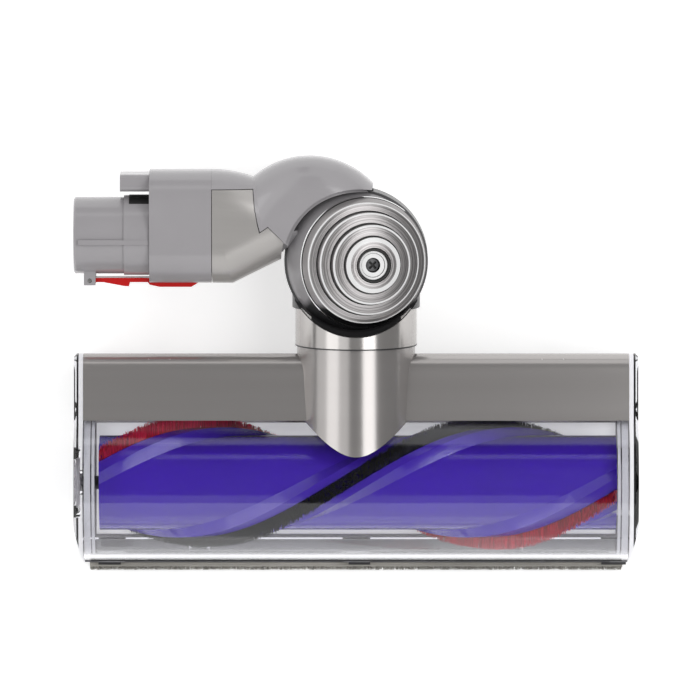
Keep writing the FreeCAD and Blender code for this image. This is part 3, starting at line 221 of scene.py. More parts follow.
def mix_colour(group, factor, dark, light, out):
    """Colour between two shades."""
    mix = group.nodes.new("ShaderNodeMix")
    mix.data_type = "RGBA"
    group.links.new(factor, mix.inputs["Factor"])
    group.links.new(dark, mix.inputs[6])
    group.links.new(light, mix.inputs[7])
    group.links.new(mix.outputs[2], out.inputs["Colour"])


def vary_roughness(group, into, noise, change, out):
    """Roughness that rises by up to a change where a noise is high."""
    rough = group.nodes.new("ShaderNodeMath")
    rough.operation = "MULTIPLY_ADD"
    rough.inputs[1].default_value = change
    group.links.new(noise.outputs["Fac"], rough.inputs[0])
    group.links.new(into.outputs["Roughness"], rough.inputs[2])
    group.links.new(rough.outputs[0], out.inputs["Roughness"])


def emboss(group, strength, noise, depth, out):
    """Normal of a relief that follows a noise and is as deep as given."""
    bump = group.nodes.new("ShaderNodeBump")
    bump.inputs["Distance"].default_value = depth
    group.links.new(strength, bump.inputs["Strength"])
    group.links.new(noise.outputs["Fac"], bump.inputs["Height"])
    group.links.new(bump.outputs["Normal"], out.inputs["Normal"])


def moulded_group():
    """Moulded surface: fine grain in the normal and slow changes of colour and roughness."""
    group, into, out = new_group(
        "moulded_surface",
        [("NodeSocketColor", "Colour", (0.5, 0.5, 0.5, 1)),
         ("NodeSocketFloat", "Roughness", 0.3), ("NodeSocketFloat", "Grain", 0.2),
         ("NodeSocketFloat", "Grain Scale", 1800.0), ("NodeSocketFloat", "Shade Change", 0.08)],
        SURFACE_OUTPUTS)
    nodes, links = group.nodes, group.links
    spot = nodes.new("ShaderNodeTexCoord")
    slow = add_noise(group, detail=4.0, scale=28.0)
    links.new(spot.outputs["Object"], slow.inputs["Vector"])
    fine = add_noise(group, detail=3.0)
    links.new(spot.outputs["Object"], fine.inputs["Vector"])
    links.new(into.outputs["Grain Scale"], fine.inputs["Scale"])
    shade = spread(group, slow)
    shade.inputs["To Min"].default_value = 1.0
    less = nodes.new("ShaderNodeMath")
    less.operation = "SUBTRACT"
    less.inputs[0].default_value = 1.0
    links.new(into.outputs["Shade Change"], less.inputs[1])
    links.new(less.outputs[0], shade.inputs["To Max"])
    tint = add_vector_math(group, "SCALE", into.outputs["Colour"])
    links.new(shade.outputs["Result"], tint.inputs["Scale"])
    links.new(tint.outputs["Vector"], out.inputs["Colour"])
    vary_roughness(group, into, slow, 0.10, out)
    emboss(group, into.outputs["Grain"], fine, 0.00005, out)
    return group


def noise_surface(group, into, noise, depth, out):
    """Let the two shades, the roughness and the relief all follow one noise."""
    mix_colour(group, spread(group, noise).outputs["Result"], into.outputs["Dark"],
               into.outputs["Light"], out)
    vary_roughness(group, into, noise, 0.08, out)
    emboss(group, into.outputs["Relief"], noise, depth, out)


def streak_group():
    """Metallised surface: streaks that run one way, in the colour, roughness and normal."""
    group, into, out = new_group(
        "metallised_surface",
        [("NodeSocketColor", "Light", (0.7, 0.7, 0.7, 1)),
         ("NodeSocketColor", "Dark", (0.4, 0.4, 0.4, 1)),
         ("NodeSocketVector", "Streaks", (400.0, 10.0, 10.0)),
         ("NodeSocketFloat", "Roughness", 0.2), ("NodeSocketFloat", "Relief", 0.1)],
        SURFACE_OUTPUTS)
    spot = group.nodes.new("ShaderNodeTexCoord")
    stretch = add_vector_math(group, "MULTIPLY", spot.outputs["Object"], into.outputs["Streaks"])
    noise = add_noise(group, detail=3.0, scale=1.0)
    group.links.new(stretch.outputs["Vector"], noise.inputs["Vector"])
    noise_surface(group, into, noise, 0.00004, out)
    return group


def turned_group():
    """Turned surface: fine rings about an axis, in the colour, roughness and normal."""
    group, into, out = new_group(
        "turned_surface",
        [("NodeSocketColor", "Light", (0.6, 0.6, 0.6, 1)),
         ("NodeSocketColor", "Dark", (0.4, 0.4, 0.4, 1)),
         ("NodeSocketVector", "Centre", (0.0, 0.0, 0.0)),
         ("NodeSocketVector", "Axis", (0.0, 0.0, 1.0)),
         ("NodeSocketFloat", "Rings", 1700.0),
         ("NodeSocketFloat", "Roughness", 0.25), ("NodeSocketFloat", "Relief", 0.3)],
        SURFACE_OUTPUTS)
    spot = group.nodes.new("ShaderNodeTexCoord")
    away = add_vector_math(group, "SUBTRACT", spot.outputs["Object"], into.outputs["Centre"])
    square = add_vector_math(group, "CROSS_PRODUCT", away.outputs["Vector"],
                             into.outputs["Axis"])
    radius = add_vector_math(group, "LENGTH", square.outputs["Vector"])
    scaled = group.nodes.new("ShaderNodeMath")
    scaled.operation = "MULTIPLY"
    group.links.new(radius.outputs["Value"], scaled.inputs[0])
    group.links.new(into.outputs["Rings"], scaled.inputs[1])
    noise = add_noise(group, detail=3.0, scale=1.0)
    noise.noise_dimensions = "1D"
    group.links.new(scaled.outputs[0], noise.inputs["W"])
    noise_surface(group, into, noise, 0.00006, out)
    return group


def two_tone_group():
    """Two colours, Near and Far, on one surface, parted where a place passes from First to Last.
    """
    group, into, out = new_group(
        "two_tone",
        [("NodeSocketVector", "Centre", (0.0, 0.0, 0.0)),
         ("NodeSocketVector", "Side", (-0.8, 0.6, 0.0)),
         ("NodeSocketColor", "Near", (0.3, 0.3, 0.3, 1)),
         ("NodeSocketColor", "Far", (0.03, 0.03, 0.03, 1)),
         ("NodeSocketFloat", "First", 0.004), ("NodeSocketFloat", "Last", 0.007)],
        [("NodeSocketColor", "Colour")])
    spot = group.nodes.new("ShaderNodeTexCoord")
    away = add_vector_math(group, "SUBTRACT", spot.outputs["Object"], into.outputs["Centre"])
    along = add_vector_math(group, "DOT_PRODUCT", away.outputs["Vector"], into.outputs["Side"])
    edge = group.nodes.new("ShaderNodeMapRange")
    group.links.new(into.outputs["First"], edge.inputs["From Min"])
    group.links.new(into.outputs["Last"], edge.inputs["From Max"])
    group.links.new(along.outputs["Value"], edge.inputs["Value"])
    mix_colour(group, edge.outputs["Result"], into.outputs["Far"], into.outputs["Near"], out)
    return group


MOULDED = moulded_group()
METALLISED = streak_group()
TWO_TONE = two_tone_group()
TURNED = turned_group()


# Materials

def new_material(name):
    """Material with its Principled shader."""
    made = bpy.data.materials.new(name)
    made.use_nodes = True
    return made, made.node_tree.nodes["Principled BSDF"]


def from_group(name, group, values, plain):
    """Material that takes its colour, roughness and normal from a group."""
    made, shader = new_material(name)
    node = made.node_tree.nodes.new("ShaderNodeGroup")
    node.node_tree = group
    for label, amount in values.items():
        node.inputs[label].default_value = amount
    for label, socket in (("Colour", "Base Color"), ("Roughness", "Roughness"),
                          ("Normal", "Normal")):
        made.node_tree.links.new(node.outputs[label], shader.inputs[socket])
    for label, amount in plain.items():
        shader.inputs[label.replace("_", " ")].default_value = amount
    return made


def moulded(name, colour, roughness=0.3, grain=0.15, grain_scale=1800.0, change=0.08, **plain):
    """Moulded plastic, rubber or the like."""
    return from_group(name, MOULDED, {
        "Colour": (*colour, 1), "Roughness": roughness, "Grain": grain,
        "Grain Scale": grain_scale, "Shade Change": change}, plain)


def metallised(name, light, dark, streaks, roughness=0.2, relief=0.1, metal=1.0):
    """Metallised or brushed surface."""
    return from_group(name, METALLISED, {
        "Light": (*light, 1), "Dark": (*dark, 1), "Streaks": streaks, "Roughness": roughness,
        "Relief": relief}, {"Metallic": metal})


def turned_metal(name, light, dark, axis, roughness=0.24, relief=0.3, metal=1.0):
    """Surface turned about an axis through the ball."""
    return from_group(name, TURNED, {
        "Light": (*light, 1), "Dark": (*dark, 1), "Centre": tuple(BALL), "Axis": tuple(axis),
        "Roughness": roughness, "Relief": relief}, {"Metallic": metal})


def clear_plastic():
    """Clear polycarbonate: tinted glass with a trace of moulding waves."""
    made, shader = new_material("clear_polycarbonate")
    shader.inputs["Base Color"].default_value = (0.93, 0.93, 0.96, 1)
    shader.inputs["Transmission Weight"].default_value = 1.0
    shader.inputs["IOR"].default_value = 1.45
    shader.inputs["Roughness"].default_value = 0.02
    nodes, links = made.node_tree.nodes, made.node_tree.links
    spot = nodes.new("ShaderNodeTexCoord")
    wave = nodes.new("ShaderNodeTexNoise")
    wave.inputs["Scale"].default_value = 18.0
    bump = nodes.new("ShaderNodeBump")
    bump.inputs["Strength"].default_value = 0.15
    bump.inputs["Distance"].default_value = 0.0002
    links.new(spot.outputs["Object"], wave.inputs["Vector"])
    links.new(wave.outputs["Fac"], bump.inputs["Height"])
    links.new(bump.outputs["Normal"], shader.inputs["Normal"])
    return made


def two_toned(made, near, far, side=(-0.8, 0.6, 0.0), first=0.004, last=0.007):
    """Give a material two shades, parted across the ball."""
    tree = made.node_tree
    node = tree.nodes.new("ShaderNodeGroup")
    node.node_tree = TWO_TONE
    node.inputs["Centre"].default_value = tuple(BALL)
    node.inputs["Near"].default_value = (*near, 1)
    node.inputs["Far"].default_value = (*far, 1)
    node.inputs["Side"].default_value = side
    node.inputs["First"].default_value = first
    node.inputs["Last"].default_value = last
    tree.links.new(node.outputs["Colour"], tree.nodes["Principled BSDF"].inputs["Base Color"])
    return made


CLEAR = clear_plastic()
TUBE_METAL = metallised("metallised_tube", (0.46, 0.44, 0.43), (0.43, 0.41, 0.40),
                        (2.0, 60.0, 60.0), 0.16, 0.0, 0.62)
NECK_METAL = metallised("metallised_neck", (0.56, 0.54, 0.525), (0.48, 0.46, 0.445),
                        (120.0, 2.0, 30.0), 0.12, 0.0, 0.66)
COVER_METAL = metallised("metallised_cover", (0.50, 0.48, 0.465), (0.45, 0.435, 0.42),
                         (8.0, 90.0, 90.0), 0.25, 0.0, 0.4)
SEAT_METAL = metallised("polished_seat", (0.85, 0.85, 0.85), (0.8, 0.8, 0.8),
                        (20.0, 20.0, 20.0), 0.08, 0.0, 1.0)
# Near-white painted as highlight on the bevels of the ringed caps and their recesses.
PAINTED_HIGHLIGHT_EDGE = moulded("ring_edge_painted_highlight", (0.92, 0.92, 0.92), 0.15, 0.02)
GREY = moulded("grey_plastic", (0.395, 0.38, 0.395), 0.2, 0.04, Coat_Weight=0.4,
               Coat_Roughness=0.08)
DARK = moulded("dark_plastic", (0.035, 0.034, 0.036), 0.28, 0.12)
PURPLE = moulded("purple_tube", (0.05, 0.013, 0.40), 0.16, 0.04, Coat_Weight=0.5,
                 Coat_Roughness=0.05)
RED = moulded("red_latch", (0.62, 0.006, 0.006), 0.2, 0.05)
DEEP_NYLON = moulded("deep_red_nylon", (0.50, 0.004, 0.03), 0.4, 0.0, change=0.3)
NYLON = moulded("red_nylon", (0.92, 0.012, 0.07), 0.35, 0.0, change=0.35)
CARBON = moulded("black_filament", (0.012, 0.012, 0.014), 0.45, 0.0, change=0.2)
FELT = moulded("felt_pile", (0.42, 0.40, 0.36), 0.8, 0.9, 2600.0, 0.3, Sheen_Weight=0.4)
# Grey on the side of the ball towards the wand and the rear, black on the rest.
EARS = two_toned(moulded("ear_plastic", (0.3, 0.3, 0.3), 0.24, 0.06), (0.33, 0.32, 0.33),
                 (0.03, 0.03, 0.032))
HEAD_SCREW = moulded("blackened_screw", (0.10, 0.10, 0.105), 0.3, 0.1)
# Near-black painted as shade in grooves, recesses and the spigot notch, and also the second
# finish of the carbon filaments.
PAINTED_SHADE_AND_FIBRE_BLACK = moulded("painted_shade_and_fibre_black", (0.012, 0.012, 0.012), 0.5, 0.0)
FROST = moulded("frosted_rib", (0.60, 0.60, 0.63), 0.22, 0.0, Coat_Weight=0.5)
# Grey on the cap skirts except towards the front of the ball, where they are black.
BAND = two_toned(moulded("cap_skirt", (0.3, 0.3, 0.3), 0.25, 0.05, Metallic=0.4),
                 (0.34, 0.325, 0.325), (0.012, 0.012, 0.013), (0.0, 1.0, 0.0), -0.0225, -0.0195)
SOLE = moulded("sole_plastic", (0.24, 0.235, 0.24), 0.3, 0.1)
FELT_SHADE = moulded("felt_shade", (0.16, 0.15, 0.135), 0.8, 0.2)
ROLLER = moulded("roller_plastic", (0.05, 0.05, 0.05), 0.4, 0.2)
STEEL = metallised("turned_steel", (0.62, 0.61, 0.60), (0.48, 0.47, 0.46),
                   (900.0, 60.0, 60.0), 0.22, 0.1)
BRASS = metallised("contact_brass", (0.72, 0.56, 0.28), (0.60, 0.45, 0.20),
                   (60.0, 400.0, 400.0), 0.2, 0.05)

NODE_MATERIALS = {
    "rear_housing": TUBE_METAL, "clear_housing": CLEAR, "left_end_cap": CLEAR,
    "right_end_cap": CLEAR, "end_cap_lock": GREY, "sole_plate": SOLE,
    "front_felt_strip": FELT, "rear_wheel_left": ROLLER, "rear_wheel_right": ROLLER,
    "front_roller_left": ROLLER, "front_roller_right": ROLLER, "rear_axle_left": STEEL,
    "rear_axle_right": STEEL, "front_axle_left": STEEL, "front_axle_right": STEEL,
    "drive_motor": STEEL, "spindle_bush": DARK, "brush_tube": PURPLE,
    "spindle_plug": DARK, "motor_bearing": DARK, "swivel_cuff": NECK_METAL,
    "knuckle": DARK, "elbow_duct": EARS, "elbow_hood": GREY,
    "elbow_cover_upper": COVER_METAL, "elbow_cover_lower": COVER_METAL,
    "connector_sleeve": GREY, "wand_spigot": GREY, "release_latch": RED,
    "latch_pin": STEEL, "terminal_boss": GREY, "contact_upper": BRASS,
    "contact_lower": BRASS, "ringed_cap_upper": STEEL, "ringed_cap_lower": STEEL,
    "cap_screw_upper": STEEL, "cap_screw_lower": STEEL, "pivot_pin_upper": STEEL,
    "pivot_pin_lower": STEEL, "bristle_row": NYLON, "filament_row": CARBON,
}


def dress(piece, material):
    """Give a piece one material."""
    piece.data.materials.clear()
    piece.data.materials.append(material)
    return piece


def dress_nodes():
    """Finish every node of the frame, and let light through the clear ones."""
    for name, node in frame["nodes"].items():
        dress(node, NODE_MATERIALS[name])
        keep_sharp(node)
        if NODE_MATERIALS[name] is CLEAR:
            node.visible_shadow = False


# Fibres

NEEDLE_SIDES = 3
NEEDLE_FACES = 4


def needle_faces(count):
    """Faces of three-sided needles, each with three points at its foot and three at its tip."""
    base = 2 * NEEDLE_SIDES * np.arange(count)[:, None]
    sides = []
    for i in range(NEEDLE_SIDES):
        following = (i + 1) % NEEDLE_SIDES
        sides.append(np.hstack([base + i, base + following, base + NEEDLE_SIDES + following,
                                base + NEEDLE_SIDES + i]))
    lids = base + NEEDLE_SIDES + np.arange(NEEDLE_SIDES)[None, :]
    return np.concatenate(sides).tolist() + lids.tolist()


def mix_finishes(piece, finishes, share, rng, count):
    """Give needles the first finish, and a random share of them the second."""
    dress(piece, finishes[0])
    piece.data.materials.append(finishes[1])
    second = (rng.random(count) < share).astype(np.int32)
    piece.data.polygons.foreach_set("material_index", np.tile(second, NEEDLE_FACES))


# Brush bar

LAND_PITCH = 0.257
FILAMENT_UP_AT = -0.005
GROOVE_DEPTH = 0.0018
TIP_UNEVENNESS = 0.0005
TIP_LEAN = 0.00035
TIP_FAN = 0.12
TIP_TAPER = 0.6
SECOND_SHARE = 0.45


def land_angle(x, opposite):
    """Angle of a land from straight up towards the rear, at a place along the bar."""
    return 2 * math.pi * (x - FILAMENT_UP_AT) / LAND_PITCH + (math.pi if opposite else 0.0)


def fibre_row(name, node, opposite, finishes, count, width, tip, thickness, seed):
    """Row of fibres that stand in a groove and follow its spiral, in two finishes.

    Each fibre is a three-sided needle from the groove's floor to its tip: its foot is at
    (x, R sin a, R cos a) with a = the land's angle plus a sideways part, and its tip leans
    a little at random.
    """
    rng = np.random.default_rng(seed)
    low, high = (np.array(c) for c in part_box(node))
    x = rng.uniform(low[0] + thickness, high[0] - thickness, count)
    side = rng.uniform(-0.5, 0.5, count) * width
    foot = LAND_RADIUS - GROOVE_DEPTH
    top = tip - np.abs(rng.normal(0, TIP_UNEVENNESS, count))
    angle = land_angle(x, opposite)
    lean = rng.normal(0, TIP_LEAN, (count, 2))
    fan = 1.0 + TIP_FAN * (top - foot) / foot

    def at(radius, along, aside):
        """Points at a radius, moved along the bar and aside."""
        turn = angle + aside / radius
        return np.stack([x + along, BAR_Y + radius * np.sin(turn),
                         BAR_Z + radius * np.cos(turn)], axis=1)

    corners = 2 * math.pi * np.arange(NEEDLE_SIDES) / NEEDLE_SIDES
    feet = [at(foot, thickness * math.cos(c), side + thickness * math.sin(c)) for c in corners]
    tips = [at(top, thickness * TIP_TAPER * math.cos(c) + lean[:, 0],
               side * fan + thickness * TIP_TAPER * math.sin(c) + lean[:, 1])
            for c in corners]
    points = np.stack(feet + tips, axis=1)
    points[..., 0] = np.clip(points[..., 0], low[0], high[0])
    piece = mesh_object(name, points.reshape(-1, 3), needle_faces(count), "brush_bar",
                        smooth=False)
    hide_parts(node)
    mix_finishes(piece, finishes, SECOND_SHARE, rng, count)
    return piece


def make_brush_rows():
    """Nylon bristles on one land and soft filaments on the other."""
    fibre_row("nylon_bristles", "bristle_row", True, (NYLON, DEEP_NYLON),
              count=6000, width=0.0040, tip=0.0300, thickness=0.00019, seed=11)
    fibre_row("carbon_filaments", "filament_row", False, (CARBON, PAINTED_SHADE_AND_FIBRE_BLACK),
              count=9000, width=0.0062, tip=0.0288, thickness=0.00016, seed=12)


# Ringed caps, in millimetres from the ball's middle along the cap's axis and out from it

BALL_RADIUS = 32.0
CAP_SEAT = 17.5
CAP_STEPS = 192
SEAT_LINE = 13.8
SEAT_EDGE = 28.85
# Rows of kind edge are painted near-white as highlight and rows of kind groove are painted black
# as shade, in the recess as on the rings.
SEAT_STEPS = ((-0.5, 0.0, "seat"), (0.0, 0.35, "seat"), (0.35, 0.0, "groove"),
              (1.1, -0.35, "band"))
BAND_OUT = 0.4
FIRST_RISE = 0.6
RINGS = ((26.8, 0.5), (22.6, 0.6), (17.6, 0.8), (12.3, 1.9))
BEVEL_FOOT = 0.15
BEVEL_OUT = 0.05
BEVEL_SLOPE = 0.25
BEVEL_RISE = 0.1
TREAD_RISE = 0.55
LAST_TREAD_RISE = 0.2
GROOVE_DROP = 0.5
GROOVE_PLACES = (0.75, 0.6, 0.15)
RECESS = 7.2
RECESS_STEPS = ((0.15, 7.0, "groove"), (-0.9, 6.3, "edge"), (-1.1, 5.4, "groove"),
                (-1.5, 5.2, "edge"), (-1.5, 3.3, "groove"), (-3.4, 3.2, "groove"),
                (-3.4, 2.9, "groove"))
SCREW_RADIUS = 2.8
SCREW_CIRCLES = 26
SCREW_STEPS = 96
SCREW_RISE = 1.15
SCREW_FALL = 0.35
SCREW_FOOT = 0.4
CROSS_HALF_WIDTH = 0.5
CROSS_REACH = 2.1
CROSS_DEPTH = 1.2


def cap_axis(side):
    """Axis of a ringed cap, leaning away from the wand."""
    return SWIVEL @ np.array([math.sin(CANT), 0.0, side * math.cos(CANT)])


def cap_profile():
    """Heights and radii of a ringed cap from its seat to its recess, with its finishes.

    Each ring has an upright wall, a bevel as wide as given that is painted near-white as a
    highlight, a brushed tread that climbs slowly inwards, and a groove painted black as shade
    before the next wall.
    """
    rows = [(SEAT_LINE + rise, SEAT_EDGE + out, kind) for rise, out, kind in SEAT_STEPS]
    rows.append((CAP_SEAT, RINGS[0][0] + BAND_OUT, "band"))
    mouth, outer, inner = GROOVE_PLACES
    level = CAP_SEAT + FIRST_RISE
    for (radius, width), (following, _) in zip(RINGS, RINGS[1:] + ((RECESS, 0.0),)):
        if radius != RINGS[0][0]:
            level = math.sqrt(BALL_RADIUS ** 2 - radius ** 2)
        tread = level + BEVEL_SLOPE * width + BEVEL_RISE
        rows.append((level - BEVEL_FOOT, radius + BEVEL_OUT, "edge"))
        rows.append((tread, radius - width, "tread"))
        level = tread + (LAST_TREAD_RISE if following == RECESS else TREAD_RISE)
        rows.append((level, following + mouth, "groove"))
        rows.append((level - GROOVE_DROP, following + outer, "groove"))
        rows.append((level - GROOVE_DROP, following + inner, "tread"))
    return rows + [(level + rise, radius, kind) for rise, radius, kind in RECESS_STEPS]


def ringed_cap(side, word, finishes):
    """Stepped cap with bevels painted near-white as highlights and grooves painted black as
    shade, in place of the plain one; gives its floor's height.
    """
    rows = cap_profile()
    profile = [(height * MM, radius * MM) for height, radius, _ in rows]
    piece = turned("stepped_cap_" + word, profile, BALL, cap_axis(side), "elbow",
                   CAP_STEPS)
    order = list(finishes)
    for kind in order:
        piece.data.materials.append(finishes[kind])
    index = np.repeat([order.index(kind) for _, _, kind in rows[:-1]], CAP_STEPS)
    lids = [order.index("tread"), order.index("groove")]
    piece.data.polygons.foreach_set("material_index",
                                    np.concatenate([index, lids]).astype(np.int32))
    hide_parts("ringed_cap_" + word)
    return rows[-1][0]


def cross_head(side, word, floor):
    """Screw head with a cross recess, whose faces are painted black as shade.

    Height over the head: a low dome, less a recess wherever the distance to one arm of the
    cross is under half of its width.
    """
    axis = cap_axis(side)
    u, v = square_axes(axis)
    r = np.linspace(0.02, 1.0, SCREW_CIRCLES)[:, None] * SCREW_RADIUS
    t = np.linspace(0, 2 * math.pi, SCREW_STEPS, endpoint=False)[None, :]
    x, y = r * np.cos(t), r * np.sin(t)
    arm = np.minimum(np.abs(x + y), np.abs(x - y)) / math.sqrt(2)
    inside = (arm < CROSS_HALF_WIDTH) & (r < CROSS_REACH)
    dome = floor + SCREW_RISE - SCREW_FALL * (r / SCREW_RADIUS) ** 2
    height = np.where(inside, dome - CROSS_DEPTH, dome) + 0 * t
    foot = np.full((1, SCREW_STEPS), floor - SCREW_FOOT)
    height = np.vstack([height, foot])
    x, y = np.vstack([x, x[-1:]]), np.vstack([y, y[-1:]])
    points = BALL + (x[..., None] * u + y[..., None] * v + height[..., None] * axis) * MM
    faces = grid_faces(SCREW_CIRCLES + 1, SCREW_STEPS, wrap=True)[:, ::-1].tolist()
    faces.append(list(range(SCREW_STEPS)))
    last = SCREW_CIRCLES * SCREW_STEPS
    faces.append([last + i for i in range(SCREW_STEPS)][::-1])
    piece = mesh_object("cross_screw_" + word, points.reshape(-1, 3), faces, "elbow")
    keep_sharp(piece, 30)
    dress(piece, HEAD_SCREW)
    # The faces of the cross recess take the black that is painted as shade.
    piece.data.materials.append(PAINTED_SHADE_AND_FIBRE_BLACK)
    painted_shade_faces = np.concatenate([inside.ravel(), [False, False]]).astype(np.int32)
    piece.data.polygons.foreach_set("material_index", painted_shade_faces)
    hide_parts("cap_screw_" + word)


def make_ringed_caps():
    """Both stepped caps and their screws."""
    for side, word in ((1, "upper"), (-1, "lower")):
        axis = cap_axis(side)
        finishes = {
            "tread": turned_metal("turned_tread_" + word, (0.50, 0.48, 0.48),
                                  (0.26, 0.25, 0.25), axis, 0.26, 0.8, 0.75),
            "edge": PAINTED_HIGHLIGHT_EDGE, "groove": PAINTED_SHADE_AND_FIBRE_BLACK, "seat": SEAT_METAL, "band": BAND}
        floor = ringed_cap(side, word, finishes)
        cross_head(side, word, floor)


# Neck seam, in millimetres from the ball along the neck and out from its axis

SEAM_RADIUS = 27.05
SEAM_DEPTH = 0.6
SEAM_BACK = 37.8
SEAM_HALF = 0.3


def make_neck_seam():
    """Dark line round the neck where the cuff turns on it."""
    front, rear = -(SEAM_BACK + SEAM_HALF) * MM, -(SEAM_BACK - SEAM_HALF) * MM
    outer, inner = SEAM_RADIUS * MM, (SEAM_RADIUS - SEAM_DEPTH) * MM
    profile = [(front, inner), (front, outer), (rear, outer), (rear, inner)]
    seam = ring_piece("neck_seam", profile, BALL, NECK_AXIS, "head")
    dress(seam, DARK)


# Small parts of the housing and the spigot

RIB_REACHES = ((0.1157, 0.1170), (0.1176, 0.1204))
RIB_RADII = (0.0307, 0.0320)
RIB_ANGLES = (58, -82)
LINE_REACH = 0.118
LINE_RADII = (0.0345, 0.0350)
LINE_ANGLES = (-87.5, -91)
CATCHES = (("left", -0.110, 0.005), ("middle", 0.0015, 0.0048), ("right", 0.115, 0.0055))
CATCH_FACES = (0.0014, 0.0001)
CATCH_HEIGHTS = (0.0092, 0.0128)
PILE_SEED = 23
PILE_COUNT = 5200
PILE_REACH = (0.0008, 0.0019)
PILE_DROOP = 0.4
PILE_SPREAD = 0.0003
PILE_ROOT = 0.0003
PILE_THICKNESS = 0.00014
PILE_TAPER = 0.5
PILE_MARGIN = 0.0004
PILE_BARE_FOOT = 0.0012
PILE_SHADE_SHARE = 0.4
SPIGOT_BEHIND = 0.0107
NOTCH_REACH = (-0.1005, -0.0916)
NOTCH_RADII = (0.0176, 0.01806)
NOTCH_ANGLES = (50, 100)


def make_ribs():
    """Frosted ribs inside both ends of the housing, and a strip of painted shade along its
    front, where the clear edge looks dark.
    """
    bar = (BAR_Y, BAR_Z)
    for side, word in ((-1, "left"), (1, "right")):
        for number, reach in enumerate(RIB_REACHES, 1):
            across = sorted(side * x for x in reach)
            rib = arc_strip("end_rib_%s_%d" % (word, number), bar, across, RIB_RADII,
                            RIB_ANGLES, "head")
            dress(rib, FROST)
    # Dark strip painted as shade where the clear front edge looks dark.
    line = arc_strip("front_edge_painted_shade", bar, (-LINE_REACH, LINE_REACH), LINE_RADII, LINE_ANGLES,
                     "head", 8)
    dress(line, DARK)


def make_catches():
    """Catches that hold the sole plate through the housing's skirt."""
    front, rear = (HOUSING_FRONT - depth for depth in CATCH_FACES)
    foot, top = CATCH_HEIGHTS
    for word, middle, half in CATCHES:
        catch = block("catch_" + word, (middle - half, front, foot), (middle + half, rear, top),
                      "head")
        dress(catch, DARK)


def make_fringe():
    """Pile that stands out of the front of the felt strip, in two shades.

    Each fibre is a three-sided needle from the strip's front face to a tip that leans
    forwards and down by a random amount.
    """
    rng = np.random.default_rng(PILE_SEED)
    low, high = (np.array(c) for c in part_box("front_felt_strip"))
    x = rng.uniform(low[0] + PILE_MARGIN, high[0] - PILE_MARGIN, PILE_COUNT)
    z = rng.uniform(low[2] + PILE_BARE_FOOT, high[2] - PILE_MARGIN, PILE_COUNT)
    reach = rng.uniform(*PILE_REACH, PILE_COUNT)
    foot = np.stack([x, np.full(PILE_COUNT, low[1] + PILE_ROOT), z], axis=1)
    tip = foot + np.stack([rng.normal(0, PILE_SPREAD, PILE_COUNT), -reach,
                           -PILE_DROOP * reach], axis=1)
    corner = 2 * math.pi * np.arange(NEEDLE_SIDES) / NEEDLE_SIDES
    spoke = np.stack([np.cos(corner), 0 * corner, np.sin(corner)], axis=1) * PILE_THICKNESS
    points = np.concatenate([foot[:, None] + spoke[None],
                             tip[:, None] + spoke[None] * PILE_TAPER], axis=1)
    fringe = mesh_object("felt_pile", points.reshape(-1, 3), needle_faces(PILE_COUNT), "head",
                         smooth=False)
    mix_finishes(fringe, (FELT, FELT_SHADE), PILE_SHADE_SHARE, rng, PILE_COUNT)


def make_notch():
    """Notch beside the sleeve, on the spigot, drawn only as a thin strip of painted shade."""
    centre = (BALL + SPIGOT_BEHIND * NECK_AXIS)[1:]
    notch = arc_strip("spigot_notch_painted_shade", centre, NOTCH_REACH, NOTCH_RADII, NOTCH_ANGLES, "elbow",
                      24)
    dress(notch, PAINTED_SHADE_AND_FIBRE_BLACK)


# Studio

ROOM_LIGHT = 0.55
FLOOR_HALF = 4.0
FLOOR_LIFT = 0.46
CARDS = (("top_card", (-0.35, -0.92, 1.5), (0.35, 2.45, 1.5)),
         ("rear_card", (-0.25, 1.4, 0.02), (-0.05, 1.4, 0.55)),
         ("right_card", (1.4, -1.5, 0.02), (1.4, 1.5, 1.75)),
         ("left_card", (-1.6, -1.5, 0.02), (-1.6, 1.5, 0.25)))


def seen_directly(tree):
    """Socket that is 1 for camera, glossy and transmission rays, and 0 for diffuse ones."""
    path = tree.nodes.new("ShaderNodeLightPath")
    socket = path.outputs["Is Camera Ray"]
    for label in ("Is Glossy Ray", "Is Transmission Ray"):
        either = tree.nodes.new("ShaderNodeMath")
        either.operation = "MAXIMUM"
        tree.links.new(socket, either.inputs[0])
        tree.links.new(path.outputs[label], either.inputs[1])
        socket = either.outputs[0]
    return socket


def stage_sheet(name, low, high, material):
    """Flat sheet of the studio between two corners, square to one of the three axes."""
    first, second = (axis for axis in range(3) if low[axis] != high[axis])
    beside, above = list(low), list(low)
    beside[first], above[second] = high[first], high[second]
    sheet = bpy.data.meshes.new(name)
    sheet.from_pydata([low, beside, high, above], [], [(0, 1, 2, 3)])
    sheet.materials.append(material)
    piece = bpy.data.objects.new(name, sheet)
    bpy.context.scene.collection.objects.link(piece)
    return piece


def make_floor():
    """Pale floor that stays plain, with the object's soft shadow on it."""
    made, shader = new_material("pale_floor")
    shader.inputs["Base Color"].default_value = (0.93, 0.93, 0.93, 1)
    shader.inputs["Roughness"].default_value = 0.8
    shader.inputs["Emission Color"].default_value = (1, 1, 1, 1)
    lift = made.node_tree.nodes.new("ShaderNodeMath")
    lift.operation = "MULTIPLY"
    lift.inputs[1].default_value = FLOOR_LIFT
    made.node_tree.links.new(seen_directly(made.node_tree), lift.inputs[0])
    made.node_tree.links.new(lift.outputs[0], shader.inputs["Emission Strength"])
    stage_sheet("studio_floor", (-FLOOR_HALF, -FLOOR_HALF, 0.0), (FLOOR_HALF, FLOOR_HALF, 0.0),
                made)


def make_world():
    """Even studio light, white where the camera looks past the floor."""
    world = bpy.data.worlds.new("studio")
    bpy.context.scene.world = world
    world.use_nodes = True
    nodes, links = world.node_tree.nodes, world.node_tree.links
    back = nodes["Background"]
    back.inputs["Color"].default_value = (1, 1, 1, 1)
    level = nodes.new("ShaderNodeMapRange")
    level.inputs["To Min"].default_value = ROOM_LIGHT
    level.inputs["To Max"].default_value = 1.0
    links.new(seen_directly(world.node_tree), level.inputs["Value"])
    links.new(level.outputs["Result"], back.inputs["Strength"])


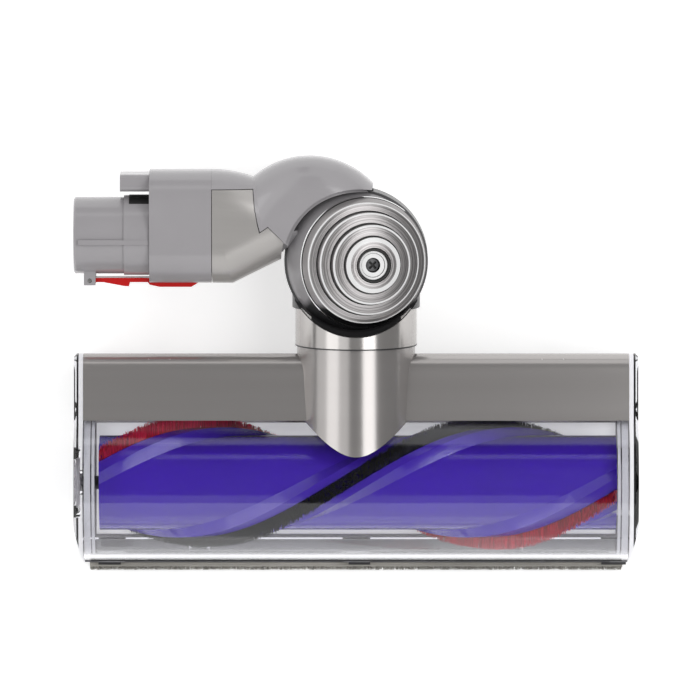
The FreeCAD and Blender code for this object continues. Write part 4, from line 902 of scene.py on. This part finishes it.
def softbox(name, sideways, first, last, distance, length, radiance):
    """Area lamp seen from the head between two angles from straight up.

    The angles are in degrees, measured towards the front, or towards the left or right
    where sideways is -1 or 1; the lamp's power follows from how bright its face is.
    """
    middle = math.radians((first + last) / 2)
    width = 2 * distance * math.tan(math.radians((last - first) / 2))
    lamp = bpy.data.lights.new(name, "AREA")
    lamp.shape = "RECTANGLE"
    lamp.size, lamp.size_y = (length, width) if sideways == 0 else (width, length)
    lamp.energy = radiance * math.pi * width * length
    piece = bpy.data.objects.new(name, lamp)
    bpy.context.scene.collection.objects.link(piece)
    reach, rise = distance * math.sin(middle), distance * math.cos(middle)
    if sideways == 0:
        piece.location = (0.0, BAR_Y - reach, rise)
        piece.rotation_euler = (-middle, 0.0, 0.0)
    else:
        piece.location = (sideways * reach, BALL[1], rise)
        piece.rotation_euler = (0.0, sideways * middle, 0.0)
    return piece


def make_lamps():
    """Three softboxes: a broad one ahead, and one over each side beside the camera."""
    softbox("front_softbox", 0, 31, 72, distance=1.2, length=2.6, radiance=2.8)
    softbox("left_softbox", -1, 33, 57, distance=1.3, length=1.6, radiance=1.2)
    softbox("right_softbox", 1, 12, 36, distance=1.3, length=1.6, radiance=2.0)


def make_cards():
    """Dark cards that only gloss and glass see: overhead, low at the rear, right and left."""
    made, shader = new_material("dark_card")
    shader.inputs["Base Color"].default_value = (0.03, 0.03, 0.03, 1)
    for name, low, high in CARDS:
        piece = stage_sheet(name, low, high, made)
        piece.visible_camera = False
        piece.visible_diffuse = False
        piece.visible_shadow = False


CAMERA_HEIGHT = 5.0
VIEW_MIDDLE = (-0.0027, 0.0053)
VIEW_WIDTH = 0.3114
WORK_PLANE = 0.031
SENSOR_WIDTH = 36.0


def make_camera():
    """Camera straight above the head, as the photograph was taken."""
    camera = bpy.data.cameras.new("camera")
    piece = bpy.data.objects.new("camera", camera)
    bpy.context.scene.collection.objects.link(piece)
    piece.location = (VIEW_MIDDLE[0], VIEW_MIDDLE[1], CAMERA_HEIGHT + WORK_PLANE)
    camera.sensor_width = SENSOR_WIDTH
    camera.lens = SENSOR_WIDTH * CAMERA_HEIGHT / VIEW_WIDTH
    camera.clip_end = 20.0
    bpy.context.scene.camera = piece


bpy.context.scene.view_settings.view_transform = "Standard"
dress_nodes()
make_brush_rows()
make_ringed_caps()
make_neck_seam()
make_ribs()
make_catches()
make_fringe()
make_notch()
make_floor()
make_world()
make_lamps()
make_cards()
make_camera()
